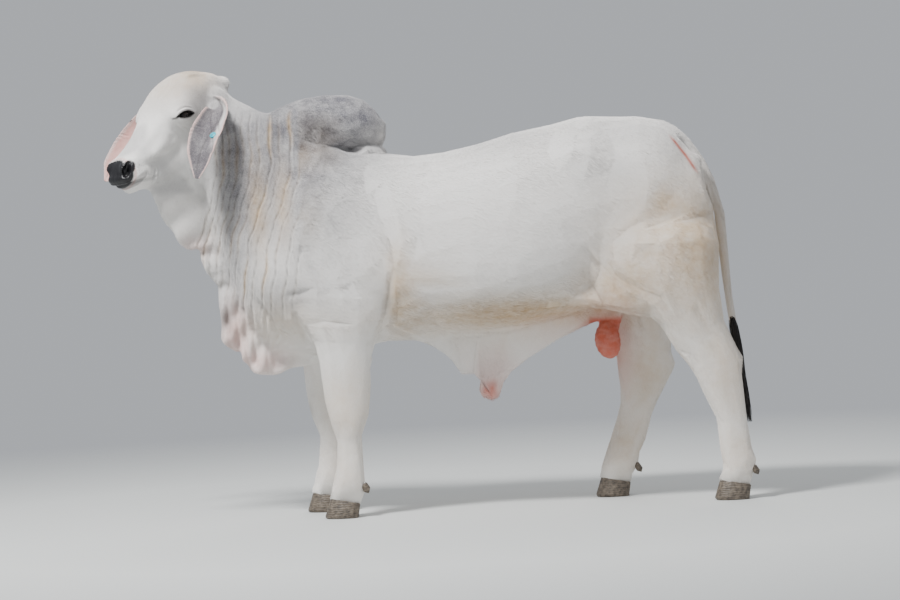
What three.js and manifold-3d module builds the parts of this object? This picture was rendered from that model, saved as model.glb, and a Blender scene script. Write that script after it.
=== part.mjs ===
// A standing polled Brahman bull at life size, modelled as a still museum figure.
// Lengths are millimetres. x runs from the head (-) to the tail (+), y from the bull's left (-) to its right (+),
// and z up from the ground. The flesh is one smooth field, built from lofted trunks and rounded muscles that melt
// into each other. It is meshed at a size that suits each part of the body, and parted with thin flat cuts.

import * as THREE from "three";
import Module from "manifold-3d";
import { mergeVertices } from "three/addons/utils/BufferGeometryUtils.js";

const wasm = await Module();
wasm.setup();

// Driving dimensions.
const GAP = 0.3; // between parts that touch
const BOX_CENTRE = [-417.75, -2.9]; // middle of the whole bull's plan, which becomes the origin
const HEAD_YAW = 39; // degrees that the face is turned to the bull's left
const HEAD_PITCH = 40; // degrees that the bridge of the nose slopes down
const POLL = [-1275, -10, 1800]; // top of the head
const EYE = { along: 256, up: -28, radius: 23, proud: 4 };
const EAR_THICKNESS = 11;
const TAG = { t: 0.47, v: -0.42, radius: 14, height: 14 };
const FEET = {
  leftFore: { x: -783, y: -185 },
  rightFore: { x: -867, y: 165 },
  leftHind: { x: 752, y: -225 },
  rightHind: { x: 306, y: 205 },
};
const SWITCH = { locks: 12, width: 38, spread: 30, seed: 11 };
const CORONET = { toe: 84, heel: 56 }; // height of the top of the hoof
const HOOF = { length: 128, width: 62, cleft: 7 };

const radians = THREE.MathUtils.degToRad;
const GOLDEN_ANGLE = Math.PI * (3 - Math.sqrt(5)); // spreads locks evenly round a stem

// Interpolation and blending.

// A smooth curve through the rows of a table, each column against the first.
function smoothTable(rows) {
  const last = rows.length - 1;
  const slopes = rows.map((row, i) => {
    const before = rows[Math.max(i - 1, 0)];
    const after = rows[Math.min(i + 1, last)];
    return row.map((_, k) => (after[k] - before[k]) / (after[0] - before[0]));
  });
  return (t) => {
    let i = 0;
    while (i < last - 1 && t > rows[i + 1][0]) i++;
    const a = rows[i];
    const b = rows[i + 1];
    const span = b[0] - a[0];
    const f = Math.min(Math.max((t - a[0]) / span, 0), 1);
    const f2 = f * f;
    const f3 = f2 * f;
    return a.map(
      (v, k) =>
        (2 * f3 - 3 * f2 + 1) * v +
        (f3 - 2 * f2 + f) * span * slopes[i][k] +
        (3 * f2 - 2 * f3) * b[k] +
        (f3 - f2) * span * slopes[i + 1][k],
    );
  };
}

function smoothMin(a, b, k) {
  const h = Math.max(k - Math.abs(a - b), 0) / k;
  return Math.min(a, b) - (h * h * k) / 4;
}

function smoothMax(a, b, k) {
  return -smoothMin(-a, -b, k);
}

// Fields. Each takes a point and gives its distance from the surface, negative inside.

// A trunk along x. Rows are x, lowest z, highest z, z of the greatest width, half width, squareness, middle y.
function trunk(rows, frontCap, backCap) {
  const at = smoothTable(rows);
  const first = rows[0][0];
  const last = rows[rows.length - 1][0];
  return (x, y, z) => {
    const t = Math.min(Math.max(x, first), last);
    const [, low, high, wide, half, power, middle = 0] = at(t);
    const over = x < first ? (first - x) / frontCap : (x - t) / backCap;
    const side = y - middle;
    const up = z - wide;
    const radius = up > 0 ? high - wide : wide - low;
    return loftDistance(side, half, up, radius, power, x - t, over);
  };
}

// A limb along z. Rows are z, front x, rear x, middle y, half width, squareness.
function limb(rows, lowCap, highCap) {
  const at = smoothTable(rows);
  const first = rows[0][0];
  const last = rows[rows.length - 1][0];
  return (x, y, z) => {
    const t = Math.min(Math.max(z, first), last);
    const [, front, rear, middle, half, power] = at(t);
    const over = z < first ? (first - z) / lowCap : (z - t) / highCap;
    return loftDistance(y - middle, half, x - (front + rear) / 2, (rear - front) / 2, power, z - t, over);
  };
}

function loftDistance(side, half, up, radius, power, past, over) {
  const section = Math.pow(Math.abs(side / half) ** power + Math.abs(up / radius) ** power, 1 / power);
  const norm = Math.max(Math.hypot(section, over), 1e-6);
  return Math.hypot(side, up, past) * (1 - 1 / norm);
}

// A muscle or bone: an ellipsoid at a centre, tilted nose-down by degrees in the side view.
function ball([cx, cy, cz], [rx, ry, rz], tilt = 0) {
  const c = Math.cos(radians(tilt));
  const s = Math.sin(radians(tilt));
  return (x, y, z) => {
    const dx = x - cx;
    const dz = z - cz;
    const u = (c * dx - s * dz) / rx;
    const v = (y - cy) / ry;
    const w = (s * dx + c * dz) / rz;
    const near = Math.hypot(u, v, w);
    const slope = Math.hypot(u / rx, v / ry, w / rz);
    return slope > 1e-9 ? (near * (near - 1)) / slope : -Math.min(rx, ry, rz);
  };
}

const mirrored = (field) => (x, y, z) => field(x, -Math.abs(y), z);

// Joins forms one after another: each is [field, blend width], and a negative width carves it away.
function blended(forms) {
  return (x, y, z) =>
    forms.reduce((sum, [field, k]) => {
      const d = field(x, y, z);
      if (k < 0) return smoothMax(sum, -d, -k);
      return smoothMin(sum, d, k);
    }, 1e6);
}

// The head, in its own frame: a along the face from the poll, s to the right, u out of the forehead.
const yaw = radians(HEAD_YAW);
const pitch = radians(HEAD_PITCH);
const headAlong = new THREE.Vector3(-Math.cos(yaw) * Math.cos(pitch), -Math.sin(yaw) * Math.cos(pitch), -Math.sin(pitch));
const headSide = new THREE.Vector3(-Math.sin(yaw), Math.cos(yaw), 0);
const headUp = new THREE.Vector3(-Math.cos(yaw) * Math.sin(pitch), -Math.sin(yaw) * Math.sin(pitch), Math.cos(pitch));
const headMatrix = new THREE.Matrix4().makeBasis(headAlong, headSide, headUp).setPosition(...POLL);

function headPoint(along, side, up) {
  return new THREE.Vector3(along, side, up).applyMatrix4(headMatrix);
}

const skull = trunk(
  [
    [-35, -130, -62, -95, 66, 2.1],
    [20, -146, 12, -68, 92, 2.2],
    [80, -148, 56, -50, 120, 2.4],
    [135, -144, 72, -42, 131, 2.5],
    [200, -138, 74, -38, 136, 2.5],
    [260, -130, 60, -36, 132, 2.5],
    [318, -120, 36, -38, 109, 2.4],
    [392, -110, 14, -46, 86, 2.3],
    [465, -106, 2, -50, 75, 2.3],
    [530, -102, -2, -52, 73, 2.4],
    [570, -98, -14, -56, 71, 2.5],
    [595, -90, -38, -62, 62, 2.5],
  ],
  26,
  20,
);
const jaw = trunk(
  [
    [120, -240, -110, -165, 76, 2.2],
    [200, -258, -100, -172, 94, 2.3],
    [280, -250, -90, -166, 92, 2.3],
    [355, -232, -84, -154, 78, 2.3],
    [430, -208, -82, -140, 64, 2.3],
    [495, -184, -80, -128, 55, 2.3],
    [545, -158, -78, -114, 48, 2.3],
    [580, -134, -76, -102, 38, 2.2],
  ],
  40,
  16,
);
const headForms = blended([
  [skull, 1],
  [jaw, 45],
  [mirrored(ball([215, -82, -160], [110, 36, 84])), 40], // cheek muscle
  [mirrored(ball([252, -112, -14], [62, 34, 42])), 30], // rim of the eye socket
  [mirrored(ball([350, -80, -78], [95, 14, 22], -6)), 24], // ridge from eye to cheek
  [mirrored(ball([530, -47, -98], [52, 29, 38])), 22], // upper lip
  [ball([565, 0, -126], [28, 36, 20]), 18], // chin
  [mirrored(ball([553, -49, -30], [34, 24, 24])), 16], // wing of the nostril
  [mirrored(ball([34, -58, -36], [36, 26, 26])), 24], // stub where a horn was taken off
  [mirrored(ball([82, -118, -88], [46, 30, 40])), 30], // root of the ear
]);
const headInverse = headMatrix.clone().invert();
const headPlace = new THREE.Vector3();
function head(x, y, z) {
  headPlace.set(x, y, z).applyMatrix4(headInverse);
  return headForms(headPlace.x, headPlace.y, headPlace.z);
}

// Trunk, neck and hump.
const barrel = trunk(
  [
    [-900, 700, 1490, 1060, 235, 2.2],
    [-800, 665, 1482, 1060, 275, 2.3],
    [-700, 655, 1455, 1060, 296, 2.3],
    [-536, 690, 1432, 1050, 312, 2.3],
    [-400, 708, 1420, 1035, 332, 2.3],
    [-215, 706, 1448, 1025, 362, 2.3],
    [-50, 718, 1489, 1035, 372, 2.3],
    [100, 748, 1515, 1060, 358, 2.3],
    [230, 782, 1541, 1110, 330, 2.3],
    [350, 800, 1536, 1140, 308, 2.3],
    [480, 828, 1528, 1150, 284, 2.3],
    [600, 890, 1474, 1150, 228, 2.2],
    [672, 985, 1362, 1150, 150, 2.1],
  ],
  120,
  46,
);
const neck = limb(
  [
    [690, -1060, -760, 0, 120, 2.1],
    [760, -1120, -720, 0, 205, 2.1],
    [850, -1165, -700, 0, 250, 2.1],
    [950, -1195, -700, 0, 268, 2.1],
    [1050, -1222, -700, 0, 262, 2.1],
    [1150, -1245, -730, 0, 240, 2.1],
    [1250, -1270, -780, -6, 214, 2.1],
    [1350, -1300, -830, -16, 190, 2.1],
    [1450, -1330, -870, -24, 168, 2.1],
    [1550, -1330, -930, -22, 146, 2.1],
    [1620, -1310, -1040, -14, 118, 2.1],
    [1690, -1295, -1160, -8, 92, 2.1],
    [1730, -1285, -1212, -6, 70, 2.1],
  ],
  40,
  22,
);
const hump = trunk(
  [
    [-1020, 1480, 1616, 1560, 70, 2.1],
    [-950, 1470, 1646, 1560, 94, 2.2],
    [-850, 1460, 1674, 1560, 114, 2.2],
    [-724, 1458, 1678, 1560, 124, 2.2],
    [-650, 1456, 1662, 1558, 120, 2.2],
    [-600, 1458, 1624, 1548, 104, 2.2],
    [-572, 1466, 1584, 1532, 80, 2.1],
  ],
  60,
  28,
);
// Legs. Each is cut off at the top of its hooves, so the lowest rows run a little below it.
const foreLegRows = (shift, y) => [
  [-60, -862 + shift, -732 + shift, y + 4, 60, 2.6],
  [85, -848 + shift, -712 + shift, y + 4, 61, 2.5],
  [118, -836 + shift, -700 + shift, y + 4, 61, 2.3],
  [158, -826 + shift, -702 + shift, y + 2, 61, 2.2],
  [197, -815 + shift, -704 + shift, y, 54, 2.2],
  [240, -809 + shift, -705 + shift, y, 50, 2.2],
  [300, -806 + shift, -706 + shift, y, 52, 2.2],
  [335, -812 + shift, -702 + shift, y, 58, 2.3],
  [375, -828 + shift, -686 + shift, y, 68, 2.4],
  [415, -838 + shift, -672 + shift, y, 73, 2.4],
  [460, -846 + shift, -668 + shift, y - 2, 71, 2.3],
  [520, -852 + shift, -660 + shift, y - 6, 72, 2.2],
  [600, -858 + shift, -654 + shift, y - 12, 80, 2.2],
  [680, -874 + shift, -630 + shift, y - 16, 90, 2.2],
  [760, -894 + shift, -596 + shift, y - 20, 100, 2.2],
  [850, -915 + shift, -585 + shift, y - 22, 96, 2.2],
];
const hindLegRows = (contour, y) =>
  contour.map(([z, front, rear, half]) => [z, front, rear, y - Math.max(0, z - 560) * 0.03, half, 2.2]);
const leftHindContour = [
  [-60, 671, 801, 60],
  [85, 693, 824, 60],
  [118, 709, 840, 59],
  [158, 710, 844, 58],
  [200, 701, 831, 51],
  [260, 699, 822, 47],
  [315, 693, 816, 48],
  [370, 673, 813, 53],
  [430, 645, 808, 60],
  [480, 624, 805, 64],
  [540, 591, 801, 66],
  [590, 553, 791, 70],
  [650, 516, 769, 80],
  [710, 477, 748, 96],
  [790, 416, 737, 116],
  [900, 367, 736, 136],
  [1010, 337, 732, 140],
];
const rightHindContour = [
  [-60, 225, 357, 60],
  [85, 246, 382, 60],
  [124, 254, 406, 59],
  [176, 274, 419, 57],
  [215, 290, 437, 51],
  [274, 313, 459, 48],
  [333, 332, 477, 48],
  [385, 343, 502, 53],
  [440, 346, 534, 60],
  [490, 344, 561, 64],
  [540, 339, 567, 66],
  [590, 335, 563, 70],
  [650, 331, 571, 80],
  [710, 323, 595, 96],
  [790, 311, 636, 116],
  [900, 311, 685, 136],
  [1010, 341, 717, 140],
];
const leftFore = limb(foreLegRows(7, FEET.leftFore.y), 10, 60);
const rightFore = limb(foreLegRows(-78, FEET.rightFore.y), 10, 60);
const leftHind = limb(hindLegRows(leftHindContour, FEET.leftHind.y), 10, 90);
const rightHind = limb(hindLegRows(rightHindContour, FEET.rightHind.y), 10, 90);

const flesh = blended([
  [barrel, 1],
  [neck, 130],
  [mirrored(ball([-850, -205, 1070], [150, 92, 290], 22)), 70], // shoulder blade
  [mirrored(ball([-1000, -196, 960], [100, 74, 110])), 60], // point of the shoulder
  [mirrored(ball([-742, -222, 905], [180, 88, 190], 28)), 60], // triceps
  [mirrored(ball([215, -232, 1372], [80, 66, 66])), 90], // hook bone
  [mirrored(ball([650, -104, 1322], [56, 50, 60])), 60], // pin bone
  [mirrored(ball([470, -196, 1080], [205, 104, 290], -12)), 80], // thigh
  [mirrored(ball([622, -150, 1040], [118, 104, 260])), 60], // buttock
  [ball([372, -238, 880], [105, 82, 150], -30), 70], // left stifle
  [ball([318, 238, 880], [100, 82, 150], -14), 70], // right stifle
  [hump, 34],
  [leftFore, 60],
  [rightFore, 60],
  [leftHind, 70],
  [rightHind, 70],
  [mirrored(ball([240, -238, 806], [150, 34, 34], 6)), 70], // fold of the flank
  [mirrored(ball([100, -398, 1310], [110, 46, 80])), -90], // hollow before the hip
  [ball([783, FEET.leftHind.y, 548], [24, 30, 34]), 26], // point of the left hock
  [ball([548, FEET.rightHind.y, 528], [24, 30, 34]), 26], // point of the right hock
  [head, 60],
  [ball([-1318, -58, 1448], [96, 84, 112]), 60], // throat
]);

// Loose skin that hangs below the body.


// A fold of skin from a root line inside the body to its free edge. Both lines are x, z points, turn(x) is
// its middle y, and half widths run from the root to the edge. Pleats run from the root to the edge.
function curtain({ root, edge, turn, widths, pleats, depth, stations }) {
  const line = (points) => new THREE.SplineCurve(points.map(([x, z]) => new THREE.Vector2(x, z)));
  const rootLine = line(root);
  const edgeLine = line(edge);
  const widthAt = smoothTable(widths);
  const steps = [0, 0.5, 0.88];
  const rings = Array.from({ length: stations + 1 }, (_, i) => {
    const t = i / stations;
    const from = rootLine.getPoint(t);
    const to = edgeLine.getPoint(t);
    const middle = (r) => from.clone().lerp(to, r);
    const wave = (r) => depth * r * Math.sin(2 * Math.PI * pleats * t);
    const side = (r, sign) => {
      const p = middle(r);
      const half = widthAt(t)[1] * (1 - 0.55 * r) * Math.sqrt(1 - r ** 6);
      return [p.x, turn(p.x) + wave(r) + sign * half, p.y];
    };
    return [...steps.map((r) => side(r, -1)), side(1, 0), ...steps.toReversed().map((r) => side(r, 1))];
  });
  return ringSolid(rings);
}

// The head's turn carries the throat sideways.
const throatTurn = (x) => POLL[1] + Math.tan(yaw) * Math.min(x - POLL[0], 0);

const throatFold = {
  root: [
    [-1400, 1430],
    [-1290, 1340],
    [-1230, 1240],
    [-1190, 1130],
    [-1160, 1020],
    [-1130, 950],
  ],
  edge: [
    [-1496, 1345],
    [-1466, 1272],
    [-1440, 1200],
    [-1411, 1161],
    [-1385, 1107],
    [-1350, 1084],
    [-1318, 1086],
    [-1312, 1052],
    [-1290, 985],
    [-1256, 950],
  ],
  turn: throatTurn,
  widths: [[0, 34], [0.5, 32], [1, 44]],
  pleats: 4.5,
  depth: 9,
  stations: 20,
};
const brisketFold = {
  root: [
    [-1150, 1010],
    [-1120, 900],
    [-1080, 830],
    [-1030, 800],
    [-960, 785],
    [-860, 775],
    [-720, 765],
  ],
  edge: [
    [-1256, 965],
    [-1253, 881],
    [-1247, 790],
    [-1249, 720],
    [-1226, 688],
    [-1182, 660],
    [-1150, 612],
    [-1128, 584],
    [-1080, 570],
    [-1025, 570],
    [-979, 590],
    [-890, 600],
    [-800, 640],
    [-700, 690],
  ],
  turn: () => 0,
  widths: [[0, 46], [0.25, 60], [0.6, 62], [0.8, 50], [1, 40]],
  pleats: 6.5,
  depth: 16,
  stations: 27,
};
const sheathFold = {
  root: [
    [-560, 760],
    [-420, 760],
    [-320, 760],
    [-240, 760],
    [-180, 765],
    [-110, 770],
    [-20, 780],
    [100, 800],
    [290, 830],
  ],
  edge: [
    [-560, 690],
    [-440, 664],
    [-370, 624],
    [-325, 578],
    [-292, 533],
    [-245, 530],
    [-222, 500],
    [-214, 452],
    [-185, 430],
    [-155, 434],
    [-142, 470],
    [-98, 529],
    [-20, 585],
    [100, 650],
    [200, 694],
    [300, 726],
  ],
  turn: () => 0,
  widths: [[0, 40], [0.5, 44], [1, 52]],
  pleats: 3,
  depth: 3,
  stations: 26,
};
const scrotumSkin = blended([
  [limb([[640, 250, 330, 0, 62, 2.2], [720, 262, 362, 0, 46, 2.2], [800, 262, 390, 0, 50, 2.2]], 20, 20), 20],
  [mirrored(ball([296, -34, 640], [54, 44, 76], -8)), 24],
]);

// Meshing.

// The surface where a field is zero, as a closed mesh on a grid of the given cell sizes, drawn onto the surface.
function meshField(field, low, high, cell) {
  const count = low.map((v, k) => Math.ceil((high[k] - v) / cell[k]) + 1);
  const [nx, ny] = count;
  const walled = (x, y, z) =>
    Math.max(
      field(x, y, z),
      low[0] + cell[0] - x,
      low[1] + cell[1] - y,
      low[2] + cell[2] - z,
      x - high[0] + cell[0],
      y - high[1] + cell[1],
      z - high[2] + cell[2],
    );
  const index = (i, j, k) => i + nx * (j + ny * k);
  const place = (i, j, k) => [low[0] + i * cell[0], low[1] + j * cell[1], low[2] + k * cell[2]];
  const values = new Float64Array(count[0] * count[1] * count[2]);
  for (let k = 0; k < count[2]; k++)
    for (let j = 0; j < count[1]; j++)
      for (let i = 0; i < count[0]; i++) values[index(i, j, k)] = walled(...place(i, j, k));

  // One vertex in each cell that the surface crosses, at the mean of its edge crossings.
  const corners = [0, 1, 2, 3, 4, 5, 6, 7].map((c) => [c & 1, (c >> 1) & 1, (c >> 2) & 1]);
  const edges = corners.flatMap((_, a) => [1, 2, 4].filter((bit) => !(a & bit)).map((bit) => [a, a | bit]));
  const vertexOf = new Map();
  const points = [];
  for (let k = 0; k < count[2] - 1; k++)
    for (let j = 0; j < count[1] - 1; j++)
      for (let i = 0; i < count[0] - 1; i++) {
        const v = corners.map(([a, b, c]) => values[index(i + a, j + b, k + c)]);
        const inside = v.filter((d) => d < 0).length;
        if (inside === 0 || inside === 8) continue;
        const sum = [0, 0, 0];
        let crossings = 0;
        for (const [a, b] of edges) {
          if (v[a] < 0 === v[b] < 0) continue;
          const f = v[a] / (v[a] - v[b]);
          for (let n = 0; n < 3; n++) sum[n] += corners[a][n] + f * (corners[b][n] - corners[a][n]);
          crossings++;
        }
        vertexOf.set(index(i, j, k), points.length);
        points.push(place(i + sum[0] / crossings, j + sum[1] / crossings, k + sum[2] / crossings));
      }

  // One quad round each grid edge that the surface crosses.
  const triangles = [];
  const addQuad = (a, b, c, d) => {
    const across = (p, q) => Math.hypot(...points[p].map((v, n) => v - points[q][n]));
    if (across(a, c) <= across(b, d)) triangles.push(a, b, c, a, c, d);
    else triangles.push(b, c, d, b, d, a);
  };
  const step = [1, nx, nx * ny];
  for (let k = 1; k < count[2] - 1; k++)
    for (let j = 1; j < count[1] - 1; j++)
      for (let i = 1; i < count[0] - 1; i++) {
        const here = index(i, j, k);
        for (let axis = 0; axis < 3; axis++) {
          const there = here + step[axis];
          if (values[here] < 0 === values[there] < 0) continue;
          const u = step[(axis + 1) % 3];
          const w = step[(axis + 2) % 3];
          const ring = [here - u - w, here - w, here, here - u].map((n) => vertexOf.get(n));
          if (values[here] < 0) addQuad(...ring);
          else addQuad(...ring.reverse());
        }
      }

  // Each vertex walks down the field's slope to the surface, less than half a cell at a time.
  const reach = 0.4 * Math.min(...cell);
  for (let round = 0; round < 4; round++)
    points.forEach((p, n) => {
      const d = walled(...p);
      const slope = slopeOf(walled, p);
      const size = Math.hypot(...slope) || 1;
      const move = THREE.MathUtils.clamp(d / size, -reach, reach) / size;
      points[n] = p.map((v, m) => v - move * slope[m]);
    });
  return { points, triangles };
}

function slopeOf(field, [x, y, z], h = 1) {
  return [
    (field(x + h, y, z) - field(x - h, y, z)) / (2 * h),
    (field(x, y + h, z) - field(x, y - h, z)) / (2 * h),
    (field(x, y, z + h) - field(x, y, z - h)) / (2 * h),
  ];
}

// Solids.

function solidFrom(points, triangles) {
  return new wasm.Manifold(
    new wasm.Mesh({
      numProp: 3,
      vertProperties: new Float32Array(points.flat()),
      triVerts: new Uint32Array(triangles),
    }),
  );
}

function solidOf(geometry) {
  const bare = geometry.clone();
  bare.deleteAttribute("normal");
  bare.deleteAttribute("uv");
  const merged = mergeVertices(bare, 1e-3);
  return new wasm.Manifold(
    new wasm.Mesh({
      numProp: 3,
      vertProperties: merged.attributes.position.array,
      triVerts: new Uint32Array(merged.index.array),
    }),
  );
}

// A closed solid through rings of points, all with the same count, with a fan of triangles over each end.
function ringSolid(rings) {
  const sides = rings[0].length;
  const triangles = [];
  for (let i = 0; i < rings.length - 1; i++)
    for (let j = 0; j < sides; j++) {
      const a = i * sides + j;
      const b = i * sides + ((j + 1) % sides);
      triangles.push(a, b, b + sides, a, b + sides, a + sides);
    }
  const end = (rings.length - 1) * sides;
  for (let j = 1; j < sides - 1; j++) triangles.push(0, j + 1, j, end, end + j, end + j + 1);
  return outward(rings.flat(), triangles);
}

// A solid whose triangles may all face inward as given.
function outward(points, triangles) {
  const solid = solidFrom(points, triangles);
  return solid.volume() > 0 ? solid : solidFrom(points, triangles.reverse());
}

function largest(solid) {
  return solid.decompose().reduce((a, b) => (b.volume() > a.volume() ? b : a));
}

// The flesh in a box as a solid, and the same a little larger, to cut what grows on it.
function fleshSolids(field, low, high, cell) {
  const { points, triangles } = meshField(field, low, high, cell);
  const swollen = points.map((p) => {
    const slope = slopeOf(field, p);
    const size = Math.hypot(...slope) || 1;
    return p.map((v, n) => v + ((GAP + 0.15) * slope[n]) / size);
  });
  return { solid: solidFrom(points, triangles), cutter: solidFrom(swollen, triangles) };
}

// A flat cut through a point. keep() gives the side that its normal points to, and drop() the other, each
// short of the cut by half the gap, or by another distance.
function cut(point, normal) {
  const n = new THREE.Vector3(...normal).normalize();
  const offset = n.dot(new THREE.Vector3(...point));
  return {
    keep: (solid, short = GAP / 2) => solid.trimByPlane([n.x, n.y, n.z], offset + short),
    drop: (solid, short = GAP / 2) => solid.trimByPlane([-n.x, -n.y, -n.z], -offset + short),
  };
}

function block(low, high, grow = 0) {
  const size = high.map((v, k) => v - low[k] + 2 * grow);
  const geometry = new THREE.BoxGeometry(...size);
  geometry.translate(...high.map((v, k) => (v + low[k]) / 2));
  return solidOf(geometry);
}

// Where the body is parted.
const behindHead = cut([-1272, -30, 1560], [-0.9, -0.3, 0.31]);
const beforeShoulder = cut([-1040, 0, 1300], [-1, 0, -0.16]);
const underHump = cut([-790, 0, 1512], [0.17, 0, 0.985]);
const behindRibs = cut([-470, 0, 1000], [1, 0, 0]);
const beforeHips = cut([190, 0, 1000], [1, 0, 0]);
const elbowHeight = 735;
const foreBlocks = [
  [[-960, -420, -10], [-560, -92, elbowHeight]],
  [[-1030, 80, -10], [-625, 420, elbowHeight]],
];
const groin = cut([330, 0, 818], [-0.28, 0, 0.96]);
const hindBlocks = [
  [[262, -480, -10], [960, -52, 1100]],
  [[200, 52, -10], [900, 480, 1100]],
];

const shown = [];
function add(name, solid, colour, roughness = 0.8) {
  shown.push({ name, solid, colour, roughness });
}

const WHITE = "#dcdad6";
const GREY = "#a9a8ab";
const CREAM = "#e0d3c4";
const PINK = "#dba393";
const DARK = "#4a4441";

// Head and neck.
const headFlesh = fleshSolids(flesh, [-1740, -460, 1200], [-1100, 200, 1850], [26, 25, 26]);
const neckFlesh = fleshSolids(flesh, [-1400, -330, 530], [-830, 330, 1800], [44, 50, 53]);
const humpFlesh = fleshSolids(flesh, [-1150, -330, 1340], [-460, 330, 1740], [46, 38, 36]);
const chestFlesh = fleshSolids(flesh, [-1220, -420, 560], [-360, 420, 1640], [74, 64, 64]);
const barrelFlesh = fleshSolids(flesh, [-640, -480, 620], [370, 480, 1680], [100, 66, 66]);
const rumpFlesh = fleshSolids(flesh, [60, -460, 640], [820, 460, 1680], [72, 64, 64]);

let neckPart = beforeShoulder.keep(behindHead.drop(neckFlesh.solid));
let headPart = behindHead.keep(headFlesh.solid);
let chestPart = behindRibs.drop(underHump.drop(beforeShoulder.drop(chestFlesh.solid)));
for (const [low, high] of foreBlocks) {
  neckPart = neckPart.subtract(block(low, high, GAP / 2));
  chestPart = chestPart.subtract(block(low, high, GAP / 2));
}
const barrelPart = beforeHips.drop(behindRibs.keep(barrelFlesh.solid));
let rumpPart = beforeHips.keep(rumpFlesh.solid);
for (const [low, high] of hindBlocks) {
  rumpPart = rumpPart.subtract(groin.drop(block(low, high, GAP / 2)).translate([0, 0, GAP]));
}
const humpPart = beforeShoulder.drop(underHump.keep(humpFlesh.solid));

// Eyes, lids, nostrils and mouth.
function tube(points, radius, steps, sides) {
  const path = new THREE.CatmullRomCurve3(points);
  const section = new THREE.Shape(
    Array.from({ length: sides }, (_, n) => {
      const turn = (n / sides) * 2 * Math.PI;
      return new THREE.Vector2(radius * Math.cos(turn), radius * Math.sin(turn));
    }),
  );
  return solidOf(new THREE.ExtrudeGeometry(section, { steps, extrudePath: path, curveSegments: 1 }));
}

function sphereAt(centre, radius, columns = 11, rows = 6) {
  const geometry = new THREE.SphereGeometry(radius, columns, rows);
  geometry.translate(...centre.toArray());
  return solidOf(geometry);
}

// How far to the side the face reaches at a place on it.
function faceSide(along, up) {
  let inside = 0;
  let outside = 200;
  while (outside - inside > 0.5) {
    const middle = (inside + outside) / 2;
    if (headForms(along, middle, up) < 0) inside = middle;
    else outside = middle;
  }
  return inside;
}

for (const side of [-1, 1]) {
  const eyeSide = faceSide(EYE.along, EYE.up) + EYE.proud - EYE.radius;
  const centre = headPoint(EYE.along, side * eyeSide, EYE.up);
  const lid = (fold, out) =>
    [-1, -0.55, 0, 0.55, 1].map((t) => {
      const bulge = Math.sqrt(1 - 0.8 * t * t);
      return headPoint(
        EYE.along + 36 * t,
        side * (eyeSide + out * bulge + 2),
        EYE.up + fold * bulge + 12 * t,
      );
    });
  headPart = headPart.add(tube(lid(13, 18), 9, 5, 5)).add(tube(lid(-14, 16), 8, 5, 5));
  headPart = headPart.subtract(sphereAt(centre, EYE.radius + GAP + 0.2));
  const name = side < 0 ? "eye_left" : "eye_right";
  add(name, sphereAt(centre, EYE.radius), "#1b1512", 0.15);

  const nostril = new THREE.SphereGeometry(1, 10, 6);
  nostril.scale(19, 12, 10);
  nostril.rotateY(radians(-35));
  nostril.translate(574, side * 60, -38);
  nostril.applyMatrix4(headMatrix);
  headPart = headPart.subtract(solidOf(nostril));
}
const lipLine = [
  [478, -92, -146],
  [515, -82, -126],
  [555, -73, -103],
  [588, -54, -87],
  [613, 0, -79],
  [588, 54, -87],
  [555, 73, -103],
  [515, 82, -126],
  [478, 92, -146],
].map((p) => headPoint(...p));
headPart = headPart.subtract(tube(lipLine, 6, 12, 4));

add("neck", largest(neckPart), GREY);
add("hump", largest(humpPart), "#8f8e92");
add("chest", largest(chestPart), WHITE);
add("barrel", largest(barrelPart), WHITE);
add("rump", largest(rumpPart), CREAM);

// Ears. Each is a cupped leaf along a drooping curve, thin at its rim.

// A place on a leaf, t along it and v across it from -1 to 1, and the way out of its hollow side.
function leafPlace({ curve, facing, widthAt, cupAt }, t, v) {
  const tangent = curve.getTangent(t);
  const normal = facing.clone().addScaledVector(tangent, -facing.dot(tangent)).normalize();
  const across = new THREE.Vector3().crossVectors(tangent, normal);
  const bend = radians(cupAt(t)[1]);
  const radius = widthAt(t)[1] / bend;
  const turn = bend * v;
  return {
    place: curve
      .getPoint(t)
      .addScaledVector(across, radius * Math.sin(turn))
      .addScaledVector(normal, radius * (1 - Math.cos(turn))),
    out: normal.multiplyScalar(Math.cos(turn)).addScaledVector(across, -Math.sin(turn)),
  };
}

function leafSolid(leaf, thickness, columns = 6, rows = 9) {
  const rings = Array.from({ length: rows + 1 }, (_, i) => {
    const t = i / rows;
    const face = (sign) =>
      Array.from({ length: columns + 1 }, (__, j) => {
        const v = (2 * j) / columns - 1;
        const rib = thickness * (1 - 0.6 * Math.abs(v)) * (1 - 0.5 * t);
        const { place, out } = leafPlace(leaf, t, v);
        return place.addScaledVector(out, (sign * rib) / 2).toArray();
      });
    return [...face(-1), ...face(1).reverse()];
  });
  return ringSolid(rings);
}

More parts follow.
